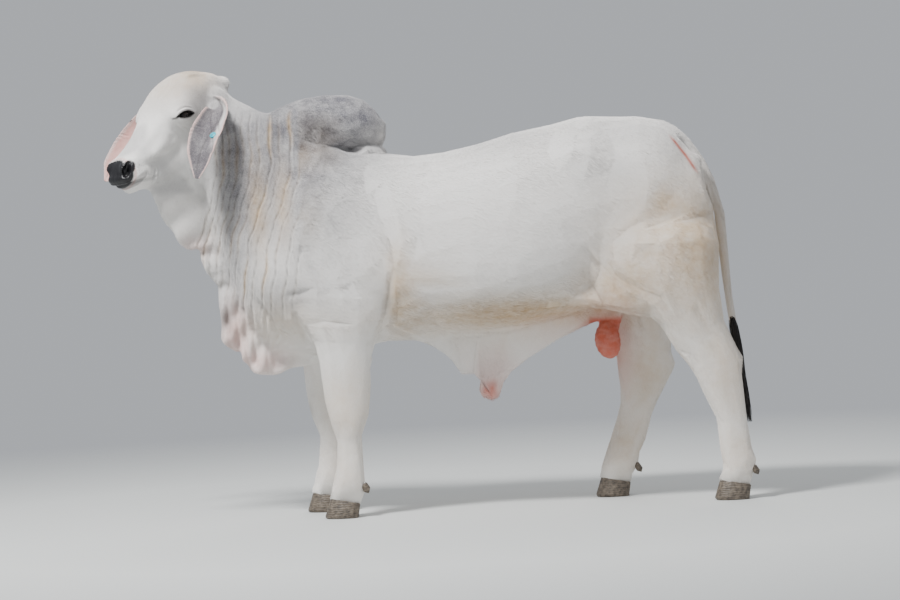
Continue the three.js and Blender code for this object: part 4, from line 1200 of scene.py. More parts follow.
DARK_MARKS = [
    ((-836, 418), (16, 34), 0.35, -1),
    ((-922, 415), (16, 34), 0.35, 1),
    ((-745, 330), (40, 20), 0.12),
    ((796, 576), (16, 24), 0.45, -1),
    ((728, 466), (22, 16), 0.30, -1),
    # Painted shade with some dirt along the rear edge of the far hind cannon.
    ((488, 396), (14, 80), 0.35, 1),
    ((-1222, 800), (24, 40), 0.40, -1),
]
TAIL_SLIT = [(566, 1450), (632, 1358), (676, 1284)]

# Egg-shaped parts of the nose, in the head's frame: middle and radii.
NOSE_PAD = ((586, 0, -44), (60, 84, 58))
NOSTRIL = ((564, 62, -34), (38, 30, 26))
# Spots of the face, in two directions: middle, radii, and how many radii out each starts and is full.
TEAR = ((46, -5), (16, 5), (1.3, 0.5))
HORN_SCAR = ((66, 80), (62, 12), (1.2, 0.5))
WHISKERS = ((520, -84), (30, 38), (1.1, 0.8))
LIP = ((560, -98), (56, 14), (1.3, 0.8))
NOSE_BRIDGE = ((440, 0), (90, 70), (1.2, 0.7))
# How grey and pink each ear is inside, and how dark the painted shade in its hollow is.
EAR_INSIDE = {"left": (1.0, 0.03, 0.3), "right": (0.15, 0.62, 0.0)}
# Ways in which the coat lies: back along the body, and down the neck, legs and tail.
BODY_LIE = (0.75, 0.25, -0.45)
NECK_LIE = (0.35, 0, -0.9)
LEG_LIE = (0.15, 0, -1.0)
TAIL_LIE = (0.1, 0, -1.0)
# Lengths of hair in millimetres: on the body, how much less on other parts, and how much more below.
BODY_HAIR = 15
LESS_HAIR = {"legs": 4, "poll": 4, "face": 4}
MORE_HAIR = {"belly": 12, "sheath": 4}
EAR_HAIR = (1.0, 5)


def marked(p, marks):
    """How strongly each point is marked, from 0 to 1."""
    clear = np.ones(len(p))
    for (x, z), (rx, rz), amount, *sides in marks:
        here = amount * np.exp(-(((p[:, 0] - x) / rx) ** 2 + ((p[:, 2] - z) / rz) ** 2))
        clear *= 1 - here * on_sides(p, sides)
    return 1 - clear


def radii_off(at, egg_shape):
    """How many radii places lie from an egg's middle."""
    middle, radii = egg_shape
    return np.sqrt((((at - middle) / np.array(radii)) ** 2).sum(1))


def spot(first, second, oval):
    """How far places lie in an oval spot, from 0 to 1."""
    middle, radii, (start, full) = oval
    return ramp(np.hypot((first - middle[0]) / radii[0], (second - middle[1]) / radii[1]), start, full)


def dark_of_face(at):
    """Dark rims of the lids, tear stains, horn scars, whisker dots and lips, from 0 to 1."""
    dark = 0.5 * spot(at[:, 0], at[:, 2], LIP)
    dots = np.sin(at[:, 0] / 2.2 + 1.3 * np.sin(at[:, 2] / 9)) * np.sin(at[:, 2] / 2.4)
    for side in (-1, 1):
        q = eye_frame(at, side)
        across = side * at[:, 1]
        dark = np.maximum.reduce([
            dark,
            ramp(almond(q), 8, 4.5) * (q[:, 2] > -6),
            0.8 * spot(q[:, 0], q[:, 1], TEAR) * (q[:, 2] > -30),
            0.35 * spot(at[:, 0], across, HORN_SCAR) * (at[:, 2] > -70),
            0.5 * ramp(dots, 0.62, 0.9) * spot(at[:, 0], at[:, 2], WHISKERS) * (across > 20),
        ])
    return dark


def coat_lie(p, head, legs, tail):
    """The way in which the coat lies at each point, given how far it is on the head, legs and tail."""
    back, out, down = BODY_LIE
    lie = np.stack([np.full(len(p), back), out * np.sign(p[:, 1]), np.full(len(p), down)], 1)
    neck = ramp(p[:, 0], -820, -1120) * (1 - head)
    for share, way in ((legs, LEG_LIE), (neck, NECK_LIE), (head, HEAD_AXES[0]), (tail, TAIL_LIE)):
        lie = lie * (1 - share)[:, None] + share[:, None] * np.array(way)
    return lie


def hair_length(p, along_face, head, legs, tail):
    """Millimetres of hair: shortest on the face, and longest along the belly and on the sheath's tip."""
    belly = np.exp(-(((p[:, 0] + 260) / 300) ** 2 + ((p[:, 2] - 770) / 60) ** 2)) * (1 - legs)
    sheath_tip = np.exp(-(((p[:, 0] + 180) / 50) ** 2 + ((p[:, 2] - 440) / 36) ** 2))
    face = head * (LESS_HAIR["poll"] + LESS_HAIR["face"] * ramp(along_face, 60, 330))
    above = BODY_HAIR - LESS_HAIR["legs"] * np.maximum(legs, tail) - face
    return above + MORE_HAIR["belly"] * belly + MORE_HAIR["sheath"] * sheath_tip


def mark_neck(p, normals, cream, dark):
    """Draws the lines along the neck's folds: dark lines of painted shade and dirt in them, and wider tan
    stains along them.
    """
    for (near, off, fade), stain in zip(neck_lines(p, normals), NECK_STAINS):
        # Painted shade, with some dirt: a dotted dark line in each fold.
        dotted = 0.6 + 0.4 * np.sin(p[near, 2] / 7.0)
        dark[near] = np.maximum(dark[near], 0.5 * fade * dotted * np.exp(-((off / 3.0) ** 2)))
        patchy = 0.55 + 0.45 * np.sin(p[near, 2] / 47 + 9 * stain)
        cream[near] = np.maximum(cream[near], stain * patchy * fade * np.exp(-((off / 7) ** 2)))


def mark_ear(p, normals, side, facts):
    """Gives an ear its markings, painted shade in its hollow and along a crease there, and short hair that
    lies along it.
    """
    leaf = LEAVES[side]
    inside_grey, inside_pink, shadow = EAR_INSIDE[side]
    flat = leaf.place.reshape(-1, 3)
    near = np.flatnonzero(np.all((p > flat.min(0) - 14) & (p < flat.max(0) + 14), axis=1))
    near = near[np.abs(leaf.distance(p[near])) < 7]
    i, j = leaf.nearest(p[near])
    t = leaf.t[i]
    v = leaf.v[j]
    on_ear = ramp(t, 0.06, 0.22)
    hollow = (normals[near] * leaf.out[i, j]).sum(1) > 0
    margin = ramp(np.abs(v), 0.82, 0.96)
    inner = hollow * (1 - margin)
    rolled = hollow * ramp(-v, 0.3, 0.6) * ramp(t, 0.75, 0.4) * (side == "left")
    # A diagonal line of painted shade where a crease crosses the ear's hollow.
    crease_shade = np.exp(-(((v + 0.5 - 0.8 * t) / 0.1) ** 2)) * inner

    def mix(name, value):
        facts[name][near] = facts[name][near] * (1 - on_ear) + on_ear * value

    def raise_to(name, value):
        facts[name][near] = np.maximum(facts[name][near], on_ear * value)

    mix("grey", (0.2 + inner * (inside_grey - 0.2)) * (1 - 0.7 * rolled))
    mix("pink", np.maximum(inner * inside_pink, 0.42 * margin))
    mix("cream", 0.0)
    mix("hair", EAR_HAIR[1] * ramp(t, 0.97, 0.84) + EAR_HAIR[0])
    # Painted shade: the crease line and the left ear's hollow are darkened, except on its rolled edge.
    raise_to("dark", np.maximum(0.6 * crease_shade, shadow * inner) * (1 - rolled))
    raise_to("bare", np.maximum(0.55 * inner, ramp(t, 0.9, 0.95)))
    share = on_ear[:, None]
    facts["lie"][near] = facts["lie"][near] * (1 - share) + share * leaf.along[i, j]


def skin_facts(p, normals):
    """The markings, the lie and length of the coat, and where the skin is bare or wet, for its points."""
    at = to_head(p)
    head = on_head(p)
    scrotum = on_scrotum(p)
    legs = ramp(p[:, 2], 800, 560)
    tail = ramp(p[:, 0], 690, 740) * ramp(p[:, 2], 560, 640) * ramp(np.abs(p[:, 1]), 60, 45)
    off, place = line_distance(p[:, [0, 2]], TAIL_SLIT)
    slit = np.exp(-((off / 6) ** 2)) * tapered(place) * (p[:, 1] < -10)
    one_side = np.stack([at[:, 0], np.abs(at[:, 1]), at[:, 2]], 1)
    pad = radii_off(at, NOSE_PAD)
    nose = np.maximum(ramp(pad, 1.08, 0.96), ramp(radii_off(one_side, NOSTRIL), 1.1, 0.95))
    wet = head * nose
    bridge = 0.35 * head * spot(at[:, 0], at[:, 1], NOSE_BRIDGE)
    flush = 0.35 * head * ramp(np.abs(pad - 1.12), 0.1, 0.03)
    grey = np.maximum.reduce([marked(p, GREY_MARKS), bridge, 0.3 * tail])
    cream = marked(p, CREAM_MARKS)
    pink = np.maximum.reduce([marked(p, PINK_MARKS), scrotum, slit, flush])
    dark = marked(p, DARK_MARKS)
    mark_neck(p, normals, cream, dark)
    dark = np.maximum(dark, head * dark_of_face(at))
    facts = {
        "grey": grey,
        "cream": cream,
        "pink": pink,
        "dark": dark,
        "lie": coat_lie(p, head, legs, tail),
        "hair": hair_length(p, at[:, 0], head, legs, tail),
        "bare": np.maximum.reduce([wet, ramp(dark, 0.5, 0.7) * head, scrotum, ramp(pink, 0.75, 0.9)]),
    }
    for side in LEAVES:
        mark_ear(p, normals, side, facts)
    return {
        "marks": np.stack([facts[name] for name in ("grey", "cream", "pink", "dark")], 1),
        "wet": wet,
        "lie": facts["lie"],
        "hair": facts["hair"] / 1000,
        "cover": 1 - facts["bare"],
    }


KINDS = {
    "marks": ("FLOAT_COLOR", "color"),
    "wet": ("FLOAT", "value"),
    "lie": ("FLOAT_VECTOR", "vector"),
    "hair": ("FLOAT", "value"),
    "cover": ("FLOAT", "value"),
}


def write_facts(mesh, facts, names):
    for name in names:
        kind, field = KINDS[name]
        attribute = mesh.attributes.new(name, kind, "POINT")
        attribute.data.foreach_set(field, np.asarray(facts[name], np.float32).ravel())


# Materials.
def linear(code):
    """An sRGB hex colour as linear red, green, blue and alpha."""
    parts = [int(code[k : k + 2], 16) / 255 for k in (1, 3, 5)]
    return [c / 12.92 if c <= 0.04045 else ((c + 0.055) / 1.055) ** 2.4 for c in parts] + [1.0]


def add_node(tree, kind, links=None, **settings):
    """Adds a node: settings are its properties, and links its inputs, each a value or a socket to join."""
    node = tree.nodes.new(kind)
    for name, value in settings.items():
        setattr(node, name, value)
    for key, value in (links or {}).items():
        if isinstance(value, bpy.types.NodeSocket):
            tree.links.new(value, node.inputs[key])
        else:
            node.inputs[key].default_value = value
    return node


def start_material(name):
    """A material without nodes as yet, its node tree and its Object coordinates."""
    material = bpy.data.materials.new(name)
    material.use_nodes = True
    tree = material.node_tree
    tree.nodes.clear()
    return material, tree, add_node(tree, "ShaderNodeTexCoord").outputs["Object"]


def shade(tree, clearness=None, **shader):
    """Ends a material with its shader, whose inputs are values or sockets, and clears it where it fades."""
    inputs = {key.replace("_", " "): value for key, value in shader.items()}
    surface = add_node(tree, "ShaderNodeBsdfPrincipled", inputs).outputs[0]
    if clearness is not None:
        clear = add_node(tree, "ShaderNodeBsdfTransparent").outputs[0]
        surface = add_node(tree, "ShaderNodeMixShader", {0: clearness, 1: surface, 2: clear}).outputs[0]
    add_node(tree, "ShaderNodeOutputMaterial", {"Surface": surface})


def mixed_colour(tree, share, first, second):
    """A mix of two colours, each a code or a socket."""
    first, second = (linear(colour) if isinstance(colour, str) else colour for colour in (first, second))
    return add_node(tree, "ShaderNodeMix", {0: share, 6: first, 7: second}, data_type="RGBA").outputs[2]


def noise_of(tree, place, size_mm, detail, roughness=0.55):
    """Noise whose lumps are about a size in millimetres across."""
    links = {"Vector": place, "Scale": 1000 / size_mm, "Detail": detail, "Roughness": roughness}
    return add_node(tree, "ShaderNodeTexNoise", links).outputs["Fac"]


def scaled(tree, value, low, high):
    """A value from 0 to 1 spread over another range."""
    links = {"Value": value, "To Min": low, "To Max": high}
    return add_node(tree, "ShaderNodeMapRange", links).outputs["Result"]


def rising(tree, value, start, end):
    """0 up to a start and 1 from an end on."""
    links = {"Value": value, "From Min": start, "From Max": end}
    return add_node(tree, "ShaderNodeMapRange", links).outputs["Result"]


def product(tree, a, b):
    """Two values multiplied, kept between 0 and 1."""
    return add_node(tree, "ShaderNodeMath", {0: a, 1: b}, operation="MULTIPLY", use_clamp=True).outputs[0]


def bump(tree, height, distance, **normal):
    """A relief whose distance is in metres."""
    links = {"Height": height, "Distance": distance, "Strength": 1.0, **normal}
    return add_node(tree, "ShaderNodeBump", links).outputs[0]


WHITE_HAIR = "#f0ede9"
GREY_HAIR = "#5f5e66"
CREAM_HAIR = "#c9a878"
PINK_SKIN = "#c4604a"
DARK_SKIN = "#2b2624"
NOSE = "#131215"
HORN = "#3a332e"
HORN_RING = "#4d443b"
HORN_DUST = "#8f8271"
RING_WIDTH = 0.009
TAIL_HAIRS = ("#0f0d0d", "#2c2624")
TAG_PLASTIC = "#22a9bb"
TAG_DUST = "#7cc4c6"
IRIS = ("#0c0603", "#1f110a")
PUPIL = "#030304"
EYE_CORNER = "#120c0a"
FLOOR = "#c9cbc9"
BACKDROP = "#e6eaf0"


def hide_colour(tree, place, light=1.0):
    """The coat's colour from its markings, broken up by patches and by single hairs."""
    marks = add_node(tree, "ShaderNodeAttribute", attribute_name="marks")
    parts = add_node(tree, "ShaderNodeSeparateColor", {0: marks.outputs["Color"]}).outputs
    patches = scaled(tree, noise_of(tree, place, 60, 4), 0.55, 1.35)
    flecks = scaled(tree, noise_of(tree, place, 4, 2), 0.6, 1.35)
    grey = product(tree, product(tree, parts[0], patches), flecks)
    colour = mixed_colour(tree, grey, WHITE_HAIR, GREY_HAIR)
    stain = scaled(tree, noise_of(tree, place, 34, 5, 0.65), 0.35, 1.5)
    colour = mixed_colour(tree, product(tree, parts[1], stain), colour, CREAM_HAIR)
    blush = scaled(tree, noise_of(tree, place, 28, 3), 0.75, 1.15)
    colour = mixed_colour(tree, product(tree, parts[2], blush), colour, PINK_SKIN)
    colour = mixed_colour(tree, marks.outputs["Alpha"], colour, DARK_SKIN)
    tone = scaled(tree, noise_of(tree, place, 3, 2), 0.88 * light, 1.04 * light)
    spread = add_node(tree, "ShaderNodeCombineColor", {0: tone, 1: tone, 2: tone}).outputs[0]
    links = {0: 1.0, 6: colour, 7: spread}
    return add_node(tree, "ShaderNodeMix", links, data_type="RGBA", blend_type="MULTIPLY").outputs[2]


def skin_material():
    """Skin under a short white coat: a dull, finely pored hide, black and wet on the nose."""
    material, tree, place = start_material("hide_under_short_coat")
    wet = add_node(tree, "ShaderNodeAttribute", attribute_name="wet").outputs["Fac"]
    hairs = noise_of(tree, place, 3.2, 3)
    cells = {"Vector": place, "Scale": 1000 / 3.6}
    pebbles = add_node(tree, "ShaderNodeTexVoronoi", cells).outputs["Distance"]
    pebbles = scaled(tree, pebbles, 0.0, 0.4)
    grain = add_node(tree, "ShaderNodeMix", {0: wet, 2: hairs, 3: pebbles}, data_type="FLOAT").outputs[0]
    creases = bump(tree, noise_of(tree, place, 22, 4, 0.6), 0.0022)
    # The hide is 5% darker than the coat: partly its darker skin, partly painted shade between the hairs.
    shade(
        tree,
        Base_Color=mixed_colour(tree, wet, hide_colour(tree, place, 0.95), NOSE),
        Roughness=scaled(tree, wet, 0.68, 0.36),
        Normal=bump(tree, grain, 0.0009, Normal=creases),
    )
    return material


def coat_material():
    """Short sleek hair: soft sheen, with the same markings as the skin."""
    material, tree, place = start_material("short_white_coat")
    relief = bump(tree, noise_of(tree, place, 1.6, 2), 0.0004)
    shade(tree, Base_Color=hide_colour(tree, place), Roughness=0.62, Sheen_Weight=0.12, Normal=relief)
    return material


def horn_material():
    """Weathered hoof horn: growth rings round the claw, dull with a slight wax."""
    material, tree, place = start_material("weathered_hoof_horn")
    waves = {"Vector": place, "Scale": math.pi / (10 * RING_WIDTH), "Distortion": 6.0}
    waves.update({"Detail": 3.0, "Detail Scale": 1.4})
    rings = add_node(tree, "ShaderNodeTexWave", waves, bands_direction="Z").outputs["Fac"]
    dust = scaled(tree, noise_of(tree, place, 14, 4), -0.5, 1.0)
    colour = mixed_colour(tree, dust, mixed_colour(tree, rings, HORN, HORN_RING), HORN_DUST)
    shade(tree, Base_Color=colour, Roughness=0.55, Normal=bump(tree, rings, 0.0008))
    return material


def switch_material():
    """Coarse black tail hair with a dull gloss."""
    material, tree, place = start_material("black_tail_hair")
    shade(tree, Base_Color=mixed_colour(tree, noise_of(tree, place, 6, 2), *TAIL_HAIRS), Roughness=0.5)
    return material


def plastic_material():
    """Moulded turquoise polyurethane: even, slightly waxy, scuffed by the pasture."""
    material, tree, place = start_material("moulded_turquoise_plastic")
    dust = scaled(tree, noise_of(tree, place, 9, 4), -0.7, 0.7)
    relief = bump(tree, noise_of(tree, place, 1.5, 2), 0.00008)
    shade(tree, Base_Color=mixed_colour(tree, dust, TAG_PLASTIC, TAG_DUST), Roughness=0.42, Normal=relief)
    return material


def eye_material():
    """A wet dark brown eye: the pupil lies across it, and the corners are near black."""
    material, tree, place = start_material("wet_dark_eye")
    gaze = add_node(tree, "ShaderNodeAttribute", attribute_name="gaze").outputs["Vector"]

    def length(vector):
        return add_node(tree, "ShaderNodeVectorMath", {0: vector}, operation="LENGTH").outputs["Value"]

    narrowed = add_node(tree, "ShaderNodeVectorMath", {0: gaze, 1: (0.58, 1.0, 0.0)}, operation="MULTIPLY")
    pupil = length(narrowed.outputs[0])
    iris = mixed_colour(tree, noise_of(tree, place, 1.2, 3), *IRIS)
    colour = mixed_colour(tree, rising(tree, pupil, 0.2, 0.26), PUPIL, iris)
    colour = mixed_colour(tree, rising(tree, length(gaze), 0.58, 0.66), colour, EYE_CORNER)
    shade(tree, Base_Color=colour, Roughness=0.06, IOR=1.38, Coat_Weight=0.15)
    return material


# Pieces.
def dress(piece, material, slot, *nodes):
    """Gives a piece its material, and lets it stand for its solids. Its slot is not used."""
    if material is not None:
        piece.data.materials.clear()
        piece.data.materials.append(material)
    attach(piece, "root")
    if nodes:
        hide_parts(*nodes)
    return piece


FLESH_NODES = [
    "head", "neck", "hump", "chest", "barrel", "rump", "foreleg_left", "foreleg_right", "hindleg_left",
    "hindleg_right", "dewlap_throat", "dewlap_brisket", "sheath", "scrotum", "tail", "ear_left", "ear_right",
]


def face_detail(points):
    """Which points lie where the skin needs finer faces: eyes, nostrils and mouth."""
    at = to_head(points)
    wanted = np.zeros(len(points), bool)
    for side in (-1, 1):
        wanted |= np.linalg.norm(at - eye_centre(side), axis=1) < 56
        wanted |= np.linalg.norm(at - (568, side * 60, -40), axis=1) < 46
    mouth = (np.abs(at[:, 2] + 98) < 40) & (at[:, 0] > 455) & (np.abs(at[:, 1]) < 110)
    return wanted | mouth


def ear_detail(points):
    """Which points lie on the ears."""
    wanted = np.zeros(len(points), bool)
    for leaf in LEAVES.values():
        form = leaf.form()
        near = np.flatnonzero(np.all((points > form.low) & (points < form.high), axis=1))
        wanted[near[leaf.distance(points[near]) < 9]] = True
    return wanted


def eye_detail(points):
    """Which points lie on the lids."""
    at = to_head(points)
    wanted = np.zeros(len(points), bool)
    for side in (-1, 1):
        q = eye_frame(at, side)
        wanted |= (np.hypot(q[:, 0] / 46, q[:, 1] / 34) < 1) & (q[:, 2] > -4) & (q[:, 2] < 60)
    return wanted


def build_skin():
    """The whole bull in one skin, in millimetres in its own frame."""
    skin = Skin()
    points, quads = surface_nets(field_grid(skin))
    points = relaxed(points, quads, 2, 0.4)
    points, faces = refined(points, quads, face_detail(points) | ear_detail(points))
    fine = face_detail(points) | ear_detail(points)
    points[fine] = drawn_onto(skin.distance, points[fine], 2)
    points, faces = refined(points, faces, eye_detail(points))
    fine = eye_detail(points)
    points[fine] = drawn_onto(skin.distance, points[fine], 2, 2.0)
    points = relaxed(points, faces, 1, 0.3)
    points = relaxed(points, faces, 4, 0.5, ear_detail(points).astype(float))
    normals = point_normals(points, faces)
    height = fold_heights(points, normals)
    points = points + height[:, None] * normals
    points[:, 0] = np.maximum(points[:, 0], SKIN_FRONT)
    return points, faces


def thinned(points, faces, triangles, keep):
    """A mesh with fewer triangles, thinned least where keep is high."""
    thing = new_object("skin_work", placed(points), faces)
    group = thing.vertex_groups.new(name="keep")
    for level in (0.5, 1.0):
        group.add(np.flatnonzero(keep >= level).tolist(), level, "REPLACE")
    thin = thing.modifiers.new("thin", "DECIMATE")
    thin.ratio = triangles / len(faces)
    thin.vertex_group = "keep"
    thin.invert_vertex_group = True
    thin.vertex_group_factor = 1.0
    thin.use_collapse_triangulate = True
    run_modifiers(thing)
    points = unplaced(points_of(thing.data))
    faces = triangles_of(thing.data)
    bpy.data.objects.remove(thing)
    return points, faces


COAT_REGIONS = {
    "head": lambda p: (p[:, 0] < -1235) & (p[:, 2] > 1285),
    "neck": lambda p: (p[:, 0] < -1000) & (p[:, 2] > 1000),
    "dewlap": lambda p: (p[:, 0] < -930) & (p[:, 2] > 540),
    "forelegs": lambda p: (p[:, 0] < -540) & (p[:, 2] < 800),
    "tail": lambda p: (p[:, 0] > 715) & (np.abs(p[:, 1]) < 50) & (p[:, 2] > 560),
    "hindlegs": lambda p: (p[:, 0] > 210) & (p[:, 2] < 880),
    "shoulders_left": lambda p: (p[:, 0] < -470) & (p[:, 1] < 0),
    "shoulders_right": lambda p: (p[:, 0] < -470) & (p[:, 1] >= 0),
    "barrel_left": lambda p: (p[:, 0] < 190) & (p[:, 1] < 0),
    "barrel_right": lambda p: (p[:, 0] < 190) & (p[:, 1] >= 0),
    "rump_left": lambda p: p[:, 1] < 0,
    "rump_right": lambda p: p[:, 1] >= 0,
}


def unwrap(thing, name):
    """Unwraps a mesh onto a new UV map by the lie of its faces."""
    thing.data.uv_layers.new(name=name)
    bpy.context.view_layer.objects.active = thing
    thing.select_set(True)
    bpy.ops.object.mode_set(mode="EDIT")
    bpy.ops.mesh.select_all(action="SELECT")
    bpy.ops.uv.smart_project(angle_limit=math.radians(70), island_margin=0.002)
    bpy.ops.object.mode_set(mode="OBJECT")
    thing.select_set(False)


def tuft_pattern():
    """One tuft, a unit long: a flat closed spike with a low ridge, its root below the skin."""
    points = [(-0.12, -0.055, -0.03), (-0.12, 0.055, -0.03), (0.3, 0.0, 0.045), (1.0, 0.0, 0.02)]
    faces = [(0, 1, 2), (0, 3, 1), (1, 3, 2), (0, 2, 3)]
    tuft = new_object("tuft_pattern", points, faces, False)
    layer = tuft.data.uv_layers.new(name="patch")
    for loop in tuft.data.loops:
        x, y, _ = tuft.data.vertices[loop.vertex_index].co
        layer.data[loop.index].uv = (x / 1.12 - 0.4, y / 0.11)
    tuft.hide_render = True
    return tuft


# Width of a tuft's patch on the skin's unwrap, and the tufts of a square metre before spacing thins them.
PATCH = 0.003
MOST_TUFTS = 130000.0


def coat_sockets(tree):
    """Gives the coat's nodes their sockets, and says by which name a modifier sets each."""
    names = {}
    for label, kind, way in (
        ("Geometry", "NodeSocketGeometry", "INPUT"),
        ("Tuft", "NodeSocketObject", "INPUT"),
        ("Spacing", "NodeSocketFloat", "INPUT"),
        ("Lift", "NodeSocketFloat", "INPUT"),
        ("Seed", "NodeSocketInt", "INPUT"),
        ("Material", "NodeSocketMaterial", "INPUT"),
        ("Coat", "NodeSocketGeometry", "OUTPUT"),
    ):
        names[label] = tree.interface.new_socket(name=label, in_out=way, socket_type=kind).identifier
    return names


def coat_tree():
    """Scatters tufts over skin that carries their markings, lie and length, and their place on its unwrap."""
    tree = bpy.data.node_groups.new("short_coat", "GeometryNodeTree")
    sockets = coat_sockets(tree)
    given = add_node(tree, "NodeGroupInput").outputs

    def named(name, kind="FLOAT_VECTOR"):
        node = add_node(tree, "GeometryNodeInputNamedAttribute", {"Name": name}, data_type=kind)
        return node.outputs["Attribute"]

    def worked_out(operation, a, b):
        return add_node(tree, "ShaderNodeMath", {0: a, 1: b}, operation=operation).outputs[0]

    def vector_sum(a, b):
        return add_node(tree, "ShaderNodeVectorMath", {0: a, 1: b}, operation="ADD").outputs[0]

    def chance(low, high, seed, kind="FLOAT"):
        node = add_node(tree, "FunctionNodeRandomValue", data_type=kind)
        names = [s for s in node.inputs if s.enabled]
        names[0].default_value = low
        names[1].default_value = high
        tree.links.new(worked_out("ADD", given["Seed"], seed), node.inputs["Seed"])
        return next(s for s in node.outputs if s.enabled)

    scatter = add_node(
        tree, "GeometryNodeDistributePointsOnFaces",
        {
            "Mesh": given["Geometry"], "Distance Min": given["Spacing"], "Density Max": MOST_TUFTS,
            "Density Factor": named("cover", "FLOAT"), "Seed": given["Seed"],
        },
        distribute_method="POISSON",
    )
    stray = chance((-0.22, -0.22, -0.22), (0.22, 0.22, 0.22), 7, "FLOAT_VECTOR")
    lying = add_node(
        tree, "FunctionNodeAlignRotationToVector",
        {"Rotation": scatter.outputs["Rotation"], "Vector": vector_sum(named("lie"), stray)},
        axis="X", pivot_axis="Z",
    ).outputs[0]
    angle = worked_out("MULTIPLY", chance(0.3, 1.0, 11), given["Lift"])
    downward = worked_out("MULTIPLY", angle, -1.0)
    tilt = add_node(tree, "ShaderNodeCombineXYZ", {"X": chance(-0.3, 0.3, 13), "Y": downward}).outputs[0]
    lifted = add_node(tree, "FunctionNodeEulerToRotation", {0: tilt}).outputs[0]
    turned = add_node(
        tree, "FunctionNodeRotateRotation", {"Rotation": lying, "Rotate By": lifted}, rotation_space="LOCAL"
    ).outputs[0]
    size = worked_out("MULTIPLY", named("hair", "FLOAT"), chance(0.75, 1.25, 17))
    pattern = add_node(tree, "GeometryNodeObjectInfo", {"Object": given["Tuft"]}).outputs["Geometry"]
    tufts = add_node(
        tree, "GeometryNodeInstanceOnPoints",
        {"Points": scatter.outputs["Points"], "Instance": pattern, "Rotation": turned, "Scale": size},
    ).outputs[0]
    real = add_node(tree, "GeometryNodeRealizeInstances", {0: tufts}).outputs[0]
    small = add_node(
        tree, "ShaderNodeVectorMath", {0: named("patch"), "Scale": PATCH}, operation="SCALE"
    ).outputs[0]
    coat = add_node(
        tree, "GeometryNodeStoreNamedAttribute",
        {"Geometry": real, "Name": "OFBake", "Value": vector_sum(named("root_uv"), small)},
        data_type="FLOAT2", domain="CORNER",
    ).outputs[0]
    for spare in ("root_uv", "patch", "lie", "hair", "cover"):
        coat = add_node(tree, "GeometryNodeRemoveAttribute", {"Geometry": coat, "Name": spare}).outputs[0]
    done = add_node(tree, "GeometryNodeSetMaterial", {"Geometry": coat, "Material": given["Material"]})
    add_node(tree, "NodeGroupOutput", {0: done.outputs[0]})
    return tree, sockets


class BullSkinSettings(bpy.types.PropertyGroup):
    triangles: bpy.props.IntProperty(
        name="Triangles", description="Triangles in the whole skin",
        default=SKIN_TRIANGLES, min=20000, max=199000,
    )


class BullCoatSettings(bpy.types.PropertyGroup):
    spacing: bpy.props.FloatProperty(
        name="Spacing", description="Least distance between two tufts",
        default=0.004, min=0.003, unit="LENGTH",
    )
    lift: bpy.props.FloatProperty(
        name="Lift", description="How far a tuft stands off the skin", default=0.12, subtype="ANGLE"
    )
    seed: bpy.props.IntProperty(name="Seed", description="Seed of the scatter", default=5)


class BullSwitchSettings(bpy.types.PropertyGroup):
    strands: bpy.props.IntProperty(
        name="Strands", description="Strands of hair in the tail's switch", default=900, min=50, max=2500
    )
    width: bpy.props.FloatProperty(
        name="Strand width", description="Width of one strand", default=0.0022, min=0.0005, unit="LENGTH"
    )
    seed: bpy.props.IntProperty(name="Seed", description="Seed of the strands", default=11)


def detail_kept(points):
    """How much of the skin's detail stays at each point when it is thinned, from 0 to 1."""
    x, y, z = points.T
    bag = (np.abs(x - SCROTUM["x"]) < 80) & (np.abs(y) < SCROTUM["half_width"])
    bag &= (z > SCROTUM["bottom"]) & (z < SCROTUM["top"])
    slit = np.hypot(x - 606, z - 1366) < 100
    some = (x < -900) | bag | slit
    return np.where(face_detail(points) | ear_detail(points), 1.0, np.where(some, 0.5, 0.0))


class BULL_OT_skin(bpy.types.Operator):
    """Build the skin of the whole bull with its markings"""

    bl_idname = "bull.skin"
    bl_label = "Skin"

    def execute(self, context):
        points, faces = build_skin()
        triangles = context.scene.bull_skin.triangles
        points, faces = thinned(points, faces, triangles, detail_kept(points))
        normals = point_normals(points, faces)
        thing = new_object("skin", placed(points), faces)
        write_facts(thing.data, skin_facts(points, normals), KINDS)
        dress(thing, skin_material(), "hide", *FLESH_NODES)
        return {"FINISHED"}


class BULL_OT_coat(bpy.types.Operator):
    """Cover the skin with short tufts that follow its lie and markings"""

    bl_idname = "bull.coat"
    bl_label = "Coat"

    def execute(self, context):
        skin = bpy.data.objects["skin"]
        settings = context.scene.bull_coat
        points = unplaced(points_of(skin.data))
        faces = triangles_of(skin.data)
        facts = skin_facts(points, point_normals(points, faces))
        middles = points[faces].mean(1)
        left = np.ones(len(faces), bool)
        tuft = tuft_pattern()
        tree, sockets = coat_tree()
        material = coat_material()
        for number, (name, chosen) in enumerate(COAT_REGIONS.items()):
            here = left & chosen(middles)
            left &= ~here
            used, part = np.unique(faces[here], return_inverse=True)
            patch = new_object("coat_" + name, placed(points[used]), part.reshape(-1, 3))
            unwrap(patch, "root_uv")
            local = {fact: values[used] for fact, values in facts.items()}
            write_facts(patch.data, local, ("marks", "lie", "hair", "cover"))
            grow = patch.modifiers.new("coat", "NODES")
            grow.node_group = tree
            grow[sockets["Tuft"]] = tuft
            grow[sockets["Spacing"]] = settings.spacing
            grow[sockets["Lift"]] = settings.lift
            grow[sockets["Seed"]] = settings.seed + number
            grow[sockets["Material"]] = material
            run_modifiers(patch)
            if len(patch.data.polygons) >= PIECE_TRIANGLES:
                raise RuntimeError(f"coat_{name} has {len(patch.data.polygons)} triangles")
            dress(patch, None, "hide")
        bpy.data.objects.remove(tuft)
        return {"FINISHED"}


# Where the eyes look, in the head's frame and for the right one, and how far the cornea stands out in radii.
GAZE = (0.12, 0.98, -0.1)
CORNEA = 0.07


def unit(vector):
    return vector / np.linalg.norm(vector)


